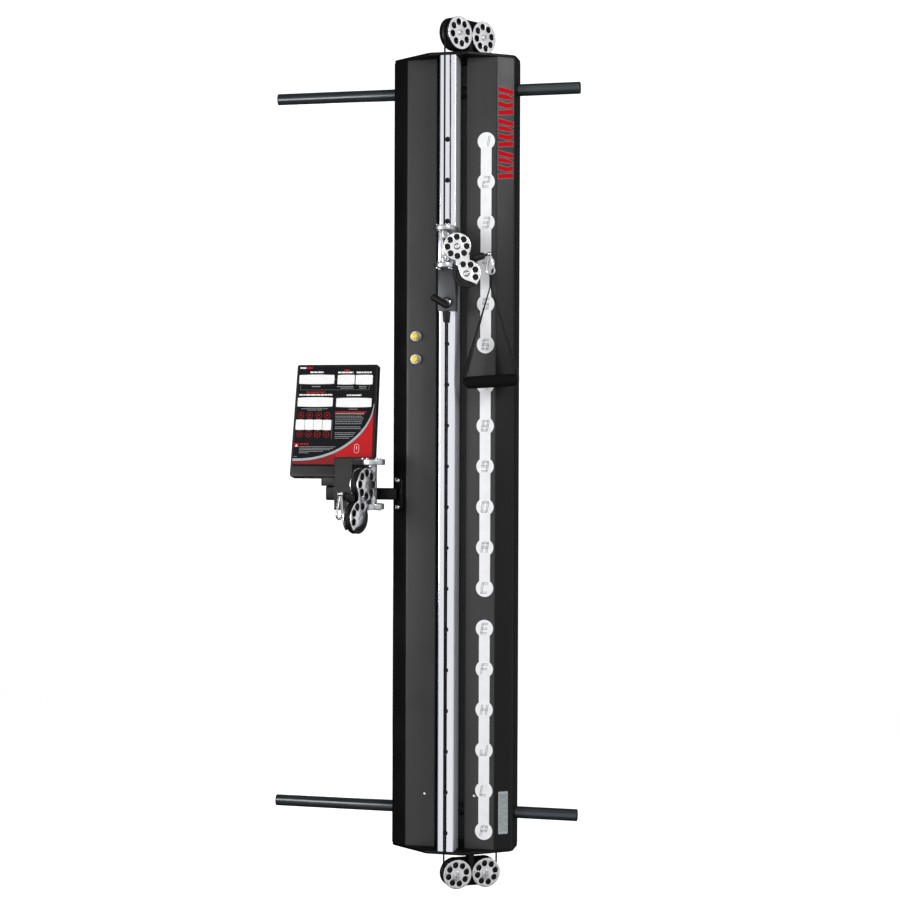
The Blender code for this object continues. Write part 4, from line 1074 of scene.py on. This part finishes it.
def gate():
    """Sprung gate with its hinge pin at the top."""
    eye = exit_points(1.0)[2]
    upper = Vector(hook_arc(eye, 1.0, "bail", 20, 20, 1)[0])
    run = Vector(hook_arc(eye, 1.0, "foot", 370, 370, 1)[0]) - upper
    direction = main_place.to_3x3() @ Vector((run.x, 0, run.y))
    at = to_world(main_place, upper.x, upper.y)
    end = run.length - 0.0008
    profile = [(0.0, 0.0014), (0.0016, 0.0014), (0.0021, 0.0026), (0.0021, run.length - 0.003), (0.0014, end),
               (0.0, end)]
    put("hook_gate_rod", lathe("g", profile, 20), "steel", "gate", along(direction, at), ("hook_gate",))


gate()

# ---------------------------------------------------------------- handle

LEFT_END = (0.0580, -0.3560)
RIGHT_END = (0.1900, -0.3475)
STRAP_WIDTH = 0.025
STRAP_THICK = 0.0034
STRAP_FOLD = 0.0020


def handle():
    """Webbing sling sewn together under the hook, with a foam grip along its bottom."""
    eye = exit_points(1.0)[2]
    top = Vector((eye.x + BAIL_RADIUS, eye.y - HOOK_DROP - HOOK_RADIUS - HOOK_WIRE - 0.0012))
    normal = main_place.to_3x3() @ Vector((0, 1, 0))
    sew = top - Vector((0, 0.030))
    parts = []
    in_plane = main_place.to_3x3() @ Vector((1, 0, 0))
    for sign, end, twist in ((-1, LEFT_END, 0.55), (1, RIGHT_END, 0.24)):
        path = [(top.x + sign * 0.0009, top.y), (top.x + sign * 0.0012, top.y - 0.012),
                (sew.x + sign * 0.0012, sew.y), (end[0] + sign * 0.0022, end[1] + 0.024),
                (end[0] + sign * 0.0050, end[1] + 0.010), (end[0] + sign * 0.0050, end[1] - 0.004)]
        path = rounded(path, [0, 0.004, 0.020, 0.012, 0.008, 0], closed=False, steps=8)
        long = max(range(1, len(path)), key=lambda k: (Vector(path[k]) - Vector(path[k - 1])).length)
        path[long:long] = [tuple(Vector(path[long - 1]).lerp(Vector(path[long]), k / 12))
                           for k in range(1, 12)]
        spots = [to_world(main_place, x, z) for x, z in path]
        turns = []
        for spot in path:
            share = max(0.0, (sew.y - spot[1]) / (sew.y - end[1]))
            turns.append(twist * min((share / 0.88) ** 1.6, (1.35 - share) / 0.47, 1.0))
        across = [(normal * math.cos(t) + in_plane * math.sin(t)).normalized() for t in turns]
        parts.append((ribbon("r", spots, STRAP_WIDTH, across, STRAP_THICK), IDENTITY))
    fold = [to_world(main_place, top.x + 0.0032 * math.cos(t), top.y - 0.0006 + 0.0020 * math.sin(t) - 0.0012)
            for t in (math.pi * k / 8 for k in range(9))]
    parts.append((ribbon("r", fold, STRAP_WIDTH, normal, STRAP_FOLD), IDENTITY))
    put("handle_webbing", merged("w", parts, 50), "webbing", "handle", replaces=("handle_strap",))
    stitches(top)
    centre = Vector(((LEFT_END[0] + RIGHT_END[0]) / 2, (LEFT_END[1] + RIGHT_END[1]) / 2))
    run = Vector((RIGHT_END[0] - LEFT_END[0], RIGHT_END[1] - LEFT_END[1]))
    half = run.length / 2
    direction = main_place.to_3x3() @ Vector((run.x, 0, run.y))
    at = to_world(main_place, centre.x, centre.y)
    place = along(direction, at)
    profile = [(0.0084, -half + 0.001)]
    count = 26
    for k in range(count + 1):
        z = -half + 0.001 + (2 * half - 0.002) * k / count
        u = abs(2 * k / count - 1)
        radius = 0.0158 + 0.0007 * (1 - u ** 2)
        if k in (0, count):
            radius -= 0.0030
        if k in (1, count - 1):
            radius -= 0.0003
        profile.append((radius, z))
    profile.append((0.0084, half - 0.001))
    grip = put("grip_sleeve", lathe("g", profile, 40, 50), "foam", "grip", place, ("handle_grip",))
    rod = [(0.0, -half - 0.0045), (0.0066, -half - 0.0045), (0.0080, -half - 0.0035), (0.0080, half + 0.0035),
           (0.0066, half + 0.0045), (0.0, half + 0.0045)]
    put("grip_core", lathe("c", rod, 32), "plastic", "handle", place)


def stitches(top):
    """Box-and-cross stitching on the sewn throat of the sling."""
    parts = []
    low = top.y - 0.027
    high = top.y - 0.005
    for sign in (-1, 1):
        x = top.x + sign * 0.0023
        for y0, z0, y1, z1 in ((-0.009, low, -0.009, high), (0.009, low, 0.009, high),
                               (-0.009, low, 0.009, low), (-0.009, high, 0.009, high),
                               (-0.009, low, 0.009, high), (0.009, low, -0.009, high)):
            a, b = Vector((y0, z0)), Vector((y1, z1))
            count = max(3, int((b - a).length / 0.0026))
            for k in range(count):
                ends = [a + (b - a) * (k + share) / count for share in (0.2, 0.8)]
                thread = [to_world(main_place, x, p.y, p.x) for p in ends]
                parts.append((sweep("s", thread, 0.00028, 6), IDENTITY))
    put("sling_stitching", merged("s", parts), "glyph", "handle")


handle()

# ---------------------------------------------------------------- carriage


def dee(centre, half, back, right=None, notch=None):
    right = right or half
    nose = arc(centre, half, 180, 360 - math.degrees(math.acos(right / half)), 40)
    if notch is None:
        return nose + [(centre[0] + right, back), (centre[0] - half, back)]
    width, front = notch
    return nose + [(right, back), (width, back), (width, front), (-width, front), (-width, back),
                   (-half, back)]


def carriage():
    low, high = SWIVEL.z - FLANGE_GAP, SWIVEL.z + FLANGE_GAP
    for label, base, radius, right in (("upper", high, 0.0290, 0.0290),
                                       ("lower", low - FLANGE_THICK, 0.0272, 0.0252)):
        outline = dee((SWIVEL.x, SWIVEL.y), radius, -0.132, right, (0.0233, RAIL_FRONT - 0.0008))
        mesh = slab("f", outline, base, base + FLANGE_THICK, [circle((SWIVEL.x, SWIVEL.y), 0.0040, 24)],
                    edge=0.0016, steps=3)
        put(f"carriage_{label}_collar", mesh, "cast", "carriage", replaces=(f"carriage_{label}_flange",))
    bolts = []
    for x, y in ((-0.0165, -0.168), (0.0165, -0.168), (-0.0165, -0.196), (0.0165, -0.196)):
        bolts.append((cap_bolt_mesh("b", 0.0040, 0.0030, 18), Matrix.Translation((x, y, high + 0.0124))))
        bolts.append((cap_bolt_mesh("b", 0.0040, 0.0030, 18),
                      Matrix.Translation((x, y, low - 0.0124)) @ Matrix.Rotation(math.pi, 4, "X")))
    put("carriage_bolts", merged("b", bolts), "steel", "carriage")
    block = rounded(box(-0.0225, 0.0225, -0.1665, -0.1520), [0.005, 0.005, 0.0008, 0.0008], steps=4)
    put("carriage_block", slab("b", block, low + 0.0003, high - 0.0003, edge=0.0006), "cast", "carriage",
        replaces=("carriage_body",))
    half, inner = 0.0248, 0.0230
    outline = [(-half, -0.1565), (half, -0.1565), (half, -0.132), (inner, -0.132), (inner, -0.1515),
               (-inner, -0.1515), (-inner, -0.132), (-half, -0.132)]
    outline = rounded(outline, [0.004, 0.004, 0.0005, 0.0005, 0.0008, 0.0008, 0.0005, 0.0005], steps=4)
    put("carriage_sleeve_cover", slab("s", outline, 0.3766, 0.4878, edge=0.0004), "sleeve", "carriage",
        replaces=("carriage_sleeve",))
    front = along((0, -1, 0), (0, -0.1568, PIN_Z))
    collar = [(0.0063, 0), (0.0118, 0), (0.0118, 0.0045), (0.0108, 0.0052), (0.0108, 0.0118),
              (0.0096, 0.0140), (0.0063, 0.0140)]
    put("plunger_collar", lathe("c", collar, 40, 30), "steel", "carriage", front, ("pin_collar",))
    ring = [(0.0118, 0.0006), (0.0148, 0.0006), (0.0150, 0.0024), (0.0136, 0.0040), (0.0118, 0.0040)]
    put("plunger_ring", lathe("r", ring, 40, 30), "rubber", "carriage", front)
    tee_handle()
    boot = [(0.0026, 0.3466), (0.0056, 0.3466), (0.0064, 0.3490), (0.0083, 0.3700), (0.0085, 0.3762),
            (0.0026, 0.3762)]
    put("cable_boot_sleeve", lathe("b", boot, 32, 30), "rubber", "carriage",
        Matrix.Translation((-0.001, -0.1612, 0)),
        ("cable_boot",))


def tee_handle():
    stem = [(0.0, -0.0050), (0.0058, -0.0050), (0.0058, 0.0400), (0.0072, 0.0480), (0.0072, 0.0560),
            (0.0, 0.0560)]
    tilt = math.radians(32)
    direction = Vector((math.cos(tilt), 0, -math.sin(tilt)))
    half = 0.025
    rim = [(0.0058 + 0.0038 * math.sin(t), half - 0.0040 * (1 - math.cos(t)))
           for t in (math.pi / 2 * k / 6 for k in range(7))]
    bar = [(0.0, -half)] + [(r, -z) for r, z in rim] + [(0.0096, 0.0)] + rim[::-1] + [(0.0, half)]
    parts = [(lathe("s", stem, 28), along((0, -1, 0), (0, -0.1565, PIN_Z))),
             (lathe("b", bar, 32), along(direction, (-0.0045, -0.212, PIN_Z)))]
    put("plunger_tee", merged("t", parts), "plastic", "pull_pin", replaces=("pull_pin",))


carriage()


def arm_flanges():
    s = ARM_HEAD_SCALE
    for label, base, radius in (("upper", FLANGE_GAP * s, 0.0290 * s),
                                ("lower", -(FLANGE_GAP + FLANGE_THICK) * s, 0.0272 * s)):
        place = Matrix.Translation(ARM_SWIVEL + Vector((0, 0, base))) @ Matrix.Rotation(ARM_NOSE_TURN, 4, "Z")
        outline = dee((0, 0), radius, 0.0497)
        mesh = slab("f", outline, 0, FLANGE_THICK * s, [circle((0, 0), 0.0048, 24)], edge=0.0018, steps=3)
        put(f"arm_{label}_collar", mesh, "cast", "root", place, (f"arm_{label}_flange",))
        bolts = []
        top = label == "upper"
        for x, y in ((-0.020, 0.014), (0.020, 0.014), (-0.018, -0.010), (0.018, -0.010)):
            at = Matrix.Translation((x, y, FLANGE_THICK * s - 0.0001 if top else 0.0001))
            turn = IDENTITY if top else Matrix.Rotation(math.pi, 4, "X")
            bolts.append((cap_bolt_mesh("b", 0.0044, 0.0034, 18), place @ at @ turn))
        put(f"arm_{label}_bolts", merged("b", bolts), "steel", "root")


arm_flanges()


def moving_cables():
    """The rail's two cable runs."""
    runs = (("upper", STATION["top"]["start"], SWIVEL.z + FLANGE_GAP, 1.1043),
            ("lower", STATION["bottom"]["start"], -1.1063, 0.3743))
    for label, at, low, high in runs:
        points = [(*at, low), (*at, high)]
        stretchy(f"{label}_rail_cable", points, (f"{label}_cable",))


moving_cables()

# ---------------------------------------------------------------- buttons


def buttons():
    for level, z in BUTTON_Z.items():
        place = along((0, -1, 0), (BUTTON_X, PANEL_FRONT, z))
        collar = [(0.0095, -0.012), (0.0108, -0.012), (0.0108, 0.0003), (0.0150, 0.0003), (0.0150, 0.0045),
                  (0.0140, 0.0058), (0.0126, 0.0066), (0.0124, 0.0150), (0.0118, 0.0160), (0.0095, 0.0160)]
        put(f"{level}_button_bezel", lathe("c", collar, 40, 30), "bezel", "root", place,
            (f"{level}_button_collar",))
        cap = [(0.0, -0.006), (0.0092, -0.006), (0.0092, 0.0222), (0.0088, 0.0240), (0.0076, 0.0250),
               (0.0040, 0.0254), (0.0, 0.0255)]
        put(f"{level}_button_head", lathe("h", cap, 40, 30), "yellow", f"{level}_button", place,
            (f"{level}_button_cap",))


buttons()

# ---------------------------------------------------------------- console

CONSOLE_TILT = math.radians(11)
CONSOLE_CENTRE = Vector((-0.323, -0.090, 0.0855))
CONSOLE = Matrix.Translation(CONSOLE_CENTRE) @ Matrix.Rotation(math.pi / 2 - CONSOLE_TILT, 4, "X")
FACE = 0.0145
MM = 0.001
SWOOSH = [(-114.2, -108.3), (-83.8, -108.0), (-52.6, -104.6), (-21.7, -96.8), (2.8, -87.5), (24.1, -76.9),
          (45.2, -62.7), (66.1, -45.0), (80.7, -28.5), (90.8, -13.9), (97.9, -0.5), (103.9, 13.4),
          (107.4, 27.4), (109.4, 46.0)]
WINDOWS = [(-105.8, -6.3, 100.7, 127.4), (2.9, 51.2, 99.5, 126.8), (53.8, 101.8, 99.2, 126.5),
           (-106.5, -7.2, 37.7, 64.4), (2.6, 101.9, 36.4, 62.8), (-108.2, -83.3, -26.3, 2.6),
           (-82.4, -58.2, -26.3, 2.6), (-57.5, -33.3, -26.3, 2.6), (-32.3, -7.8, -26.9, 1.9)]
WHITE_BARS = [(-75.6, -37.6, 132.1, 136.1), (3.1, 46.1, 131.2, 135.2), (55.6, 97.6, 131.2, 135.2),
              (-103.8, -9.8, 69.0, 73.0), (31.3, 72.9, 68.1, 71.8)]
GREY_BARS = [(-69.1, -44.8, 92.9, 95.4), (2.5, 49.2, 92.9, 94.8), (12.6, 49.5, 88.6, 90.4),
             (64.2, 85.5, 92.9, 94.8), (65.7, 84.5, 88.6, 90.4), (-95.5, -19.9, 31.8, 33.3),
             (-77.9, -36.3, 28.0, 29.6), (39.2, 64.3, 30.5, 32.2), (2.1, 83.1, 17.2, 20.4)]
RED_BARS = [(20.5, 35.9, 137.9, 141.1), (-83.8, -30.1, 76.7, 79.9), (2.5, 89.1, 21.7, 25.0),
            (-92.9, -68.8, -66.8, -63.3)]
KEY_SPOTS = [(x, 14.4) for x in (-95.2, -69.7, -44.5, -20.2)] + [(x, -38.7) for x in (-95.7, -70.5, -45.4,
                                                                                      -20.5)]


def console_outline(margin, foot):
    low, high = -0.156, 0.156
    wide, narrow = 0.118 - margin, 0.1145 - margin
    return [(-wide, low + foot), (wide, low + foot), (narrow, high - margin), (-narrow, high - margin)]


def rect(x0, x1, y0, y1):
    return box(x0 * MM, x1 * MM, y0 * MM, y1 * MM)


def on_face(points):
    """The same points, none of them past the face's side edges."""
    return [(max(-0.1112, min(0.1106, x)), y) for x, y in points]


def words(x0, x1, y0, y1, rng, low=3.0, high=8.5, gap=1.1):
    """One line of print as generic bars."""
    bars = []
    x = x0
    while x < x1 - 1.0:
        end = min(x1, x + rng.uniform(low, high))
        bars.append(rect(x, end, y0, y1))
        x = end + gap
    return bars


def print_layer(name, shapes, look, level):
    parts = [(slab("t", shape, level * 0.00012, level * 0.00012 + 0.0001), IDENTITY) for shape in shapes]
    place = CONSOLE @ Matrix.Translation((0, 0, FACE))
    put(name, merged(name, parts), look, "root", place)


def swoosh_x(y):
    """Where the swoosh crosses a height on the face."""
    for (x0, y0), (x1, y1) in zip(SWOOSH, SWOOSH[1:]):
        if y0 <= y <= y1 and y1 > y0:
            return x0 + (x1 - x0) * (y - y0) / (y1 - y0)
    return SWOOSH[-1][0]


def window_shape(x0, x1, y0, y1):
    """Display window whose long edges bow outwards."""
    bow = 0.8 if x1 - x0 < 60 else 1.3
    top = [(x1 + (x0 - x1) * k / 8, y1 - bow + bow * 4 * (k / 8) * (1 - k / 8)) for k in range(9)]
    low = [(x0 + (x1 - x0) * k / 8, y0 + bow - bow * 4 * (k / 8) * (1 - k / 8)) for k in range(9)]
    loop = [(x * MM, y * MM) for x, y in low + top]
    sizes = [0.0] * len(loop)
    for corner in (0, 8, 9, 17):
        sizes[corner] = 0.0018
    return rounded(loop, sizes, steps=4)


def console_print():
    rng = random.Random(11)
    curve = [Vector(p) for p in rounded([(x * MM, y * MM) for x, y in SWOOSH], 0.012, closed=False, steps=3)]
    upper, lower, edge = [], [], []
    count = len(curve)
    for i, p in enumerate(curve):
        run = (curve[min(i + 1, count - 1)] - curve[max(i - 1, 0)]).normalized()
        side = Vector((-run.y, run.x))
        half = 0.0030 - 0.0022 * max(0.0, (i / count - 0.55) / 0.45)
        upper.append(tuple(p + side * half))
        lower.append(tuple(p - side * half))
        edge.append(tuple(Vector(lower[i]) + (Vector(lower[i]) - p) * 0.35))
    fill_edge = [(max(-0.1112, min(0.1098, p.x)), p.y) for p in curve if p.x < 0.1098]
    red = fill_edge + [(0.1092, 0.0400), (0.1110, -0.1255), (-0.1110, -0.1255)]
    print_layer("print_red_field", [red], "red", 0)
    band = [(x, y) for x, y in fill_edge if y < -0.0935]
    band += [(0.0100, -0.0935), (0.0100, -0.1215), (-0.1110, -0.1215)]
    print_layer("print_dark_band", [band], "red_dark", 1)
    foot = [(-0.1111, -0.1258), (0.1111, -0.1258), (0.1110, -0.1205), (-0.1110, -0.1205)]
    print_layer("print_foot_band", [foot], "overlay", 2)
    print_layer("print_swoosh", [on_face(upper + lower[::-1])], "silver", 3)
    print_layer("print_swoosh_edge", [on_face(lower + edge[::-1])], "teal", 3)
    print_layer("display_windows", [window_shape(*w) for w in WINDOWS], "white", 2)
    print_layer("window_rims", [inset(window_shape(*w), -0.0007) for w in WINDOWS], "black", 1)
    white = [bar for spot in WHITE_BARS for bar in words(*spot, rng, 5, 14, 1.3)]
    print_layer("print_white", white + [rect(-104.8, -88.4, 144.0, 148.2)], "white", 2)
    reds = [bar for spot in RED_BARS for bar in words(*spot, rng, 6, 16, 1.3)]
    reds += [rect(-88.3, -69.4, 144.0, 148.2), rect(-108.4, -96.5, -73.8, -62.7)]
    print_layer("print_red", reds, "red", 2)
    warning = [(-0.1065, -0.0722), (-0.0984, -0.0722), (-0.10245, -0.0650)]
    print_layer("print_icon", [warning], "white", 3)
    grey = [bar for spot in GREY_BARS for bar in words(*spot, rng, 3, 8, 0.9)]
    for y in (11.9, 7.2, 1.6, -3.6, -8.9, -17.6, -22.3, -33.8, -38.7, -44.0, -48.7):
        limit = min(84.0, swoosh_x(y) - 9.0)
        grey += words(3.0 - y * 0.03, limit - rng.uniform(0, 8), y - 0.8, y + 0.8, rng, 2.5, 7, 0.9)
    for y, end in ((-72.6, 8.0), (-76.9, 2.0), (-80.7, -6.0), (-85.0, -26.0), (-89.4, -66.0)):
        grey += words(-94.0, end, y - 0.8, y + 0.8, rng, 2.5, 7, 0.9)
    grey += [rect(-5.4, -4.9, -51.8, 2.6), rect(-101.0, 93.0, 84.6, 85.0), rect(-101.0, -100.5, 84.6, 98.0),
             rect(92.5, 93.0, 84.6, 98.0), rect(-108.0, -99.0, -100.4, -99.3), rect(-6.2, 1.0, 113.0, 113.8)]
    print_layer("print_grey", grey, "pale", 2)
    rings, dots, keys = [], [], []
    place = CONSOLE @ Matrix.Translation((0, 0, FACE))
    for x, y in KEY_SPOTS:
        at = place @ Matrix.Translation((x * MM, y * MM, 0))
        rings.append((lathe("r", box(0.0078, 0.0088, 0.0002, 0.0004), 8), at))
        dome = [(0.0, 0.0), (0.0066, 0.0), (0.0062, 0.0004), (0.0045, 0.0006), (0.0, 0.0006)]
        keys.append((lathe("k", dome, 28), at))
        dots.append((lathe("d", [(0.0, 0.0006), (0.0023, 0.0006), (0.0019, 0.0008), (0.0, 0.0008)], 18), at))
    put("key_rings", merged("key_rings", rings), "red", "root")
    put("key_domes", merged("key_domes", keys), "overlay", "root")
    put("key_dots", merged("key_dots", dots), "red", "root")
    outer, inner = (arc((0.0673, -0.0712), r, 0, 180, 12) + arc((0.0673, -0.0826), r, 180, 360, 12)
                    for r in (0.0068, 0.0060))
    ring = slab("m", outer, 0.00040, 0.00050, [inner])
    dash = slab("m", rect(66.4, 68.2, -79.0, -71.0), 0.00040, 0.00050)
    put("print_pill", merged("print_pill", [(ring, IDENTITY), (dash, IDENTITY)]), "white", "root", place)


def console():
    sizes = [0.010, 0.010, 0.007, 0.007]
    body = slab("h", rounded(console_outline(0, 0), sizes, steps=6), -0.013, 0.013, edge=0.0035, steps=4)
    neck = slab("n", rounded(box(-0.030, 0.033, -0.1285, -0.073), 0.006, steps=3), -0.0882, -0.055,
                edge=0.002, steps=3)
    parts = [(body, CONSOLE), (neck, Matrix.Translation((CONSOLE_CENTRE.x, 0, 0)))]
    put("console_case", merged("console_case", parts), "housing", "root", replaces=("console_housing",))
    face = slab("f", rounded(console_outline(0.007, 0.030), 0.004, steps=4), 0.0133, FACE, edge=0.0003,
                steps=1)
    put("console_face_sheet", face, "overlay", "root", CONSOLE, ("console_overlay",))
    ridge = slab("f", rounded(rect(-108, 108, -150.5, -149.3), 0.0004, steps=1), 0.0128, 0.0136)
    put("console_ridge", ridge, "housing", "root", CONSOLE)
    console_print()


def console_arm():
    """Square arm, its rounded end block and the foot plate on the chamfer."""
    run = basis(Vector((0, 1, 0)), Vector((0, 0, 1)), Vector((1, 0, 0)), (0, 0, 0))
    y, z = -0.092, -0.109
    tube = rounded(box(y - 0.0155, y + 0.0155, z - 0.0155, z + 0.0155), 0.004, steps=4)
    bar = slab("b", tube, -0.335, -0.1480, edge=0.0008)
    block = rounded(box(y - 0.0190, y + 0.0190, z - 0.0185, z + 0.0205), 0.006, steps=4)
    end = slab("e", block, -0.345, -0.285, edge=0.004, steps=3)
    foot = slab("f", rounded(box(-0.017, 0.017, 0.044, -0.044), 0.011, steps=5), 0.0003, 0.0075, edge=0.0015,
                steps=3)
    weld = []
    at = chamfer_basis(-1, z)
    for k in range(24):
        t = 2 * math.pi * k / 24
        weld.append((max(-0.0135, min(0.0135, 0.021 * math.cos(t))),
                     max(-0.0165, min(0.0165, 0.023 * math.sin(t))), 0.0078))
    parts = [(bar, run), (end, run), (foot, at), (sweep("w", weld, 0.0016, 8, closed=True), at)]
    put("arm_tube", merged("arm_tube", parts), "black", "root", replaces=("console_arm",))


console()
console_arm()

# ---------------------------------------------------------------- inside and remaining CAD pieces


def inner_cable():
    run, _, _, second = station_plan("top")
    drop = second + run * STATION["top"]["pitch"]
    points = [(drop.x, drop.y, 0.5603), (drop.x, drop.y, 0.9997)]
    stretchy("inner_rail_cable", points, ("inner_cable",))


for node, look in (("back_plate", "rear"), ("top_bracket", "black"), ("bottom_bracket", "black"),
                   ("arm_post", "panel"), ("air_cylinder", "cast"), ("ram_rod", "steel")):
    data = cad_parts[node].data
    data.materials.clear()
    data.materials.append(M[look])

inner_cable()
flush = [(cap_bolt_mesh("t", 0.0052, 0.0005), along((0, 1, 0), (x, 0.0, z)))
         for x in (-0.150, 0.150) for z in (-1.030, -0.515, 0.0, 0.515, 1.030)]
put("back_screws", merged("back_screws", flush), "steel", "root")
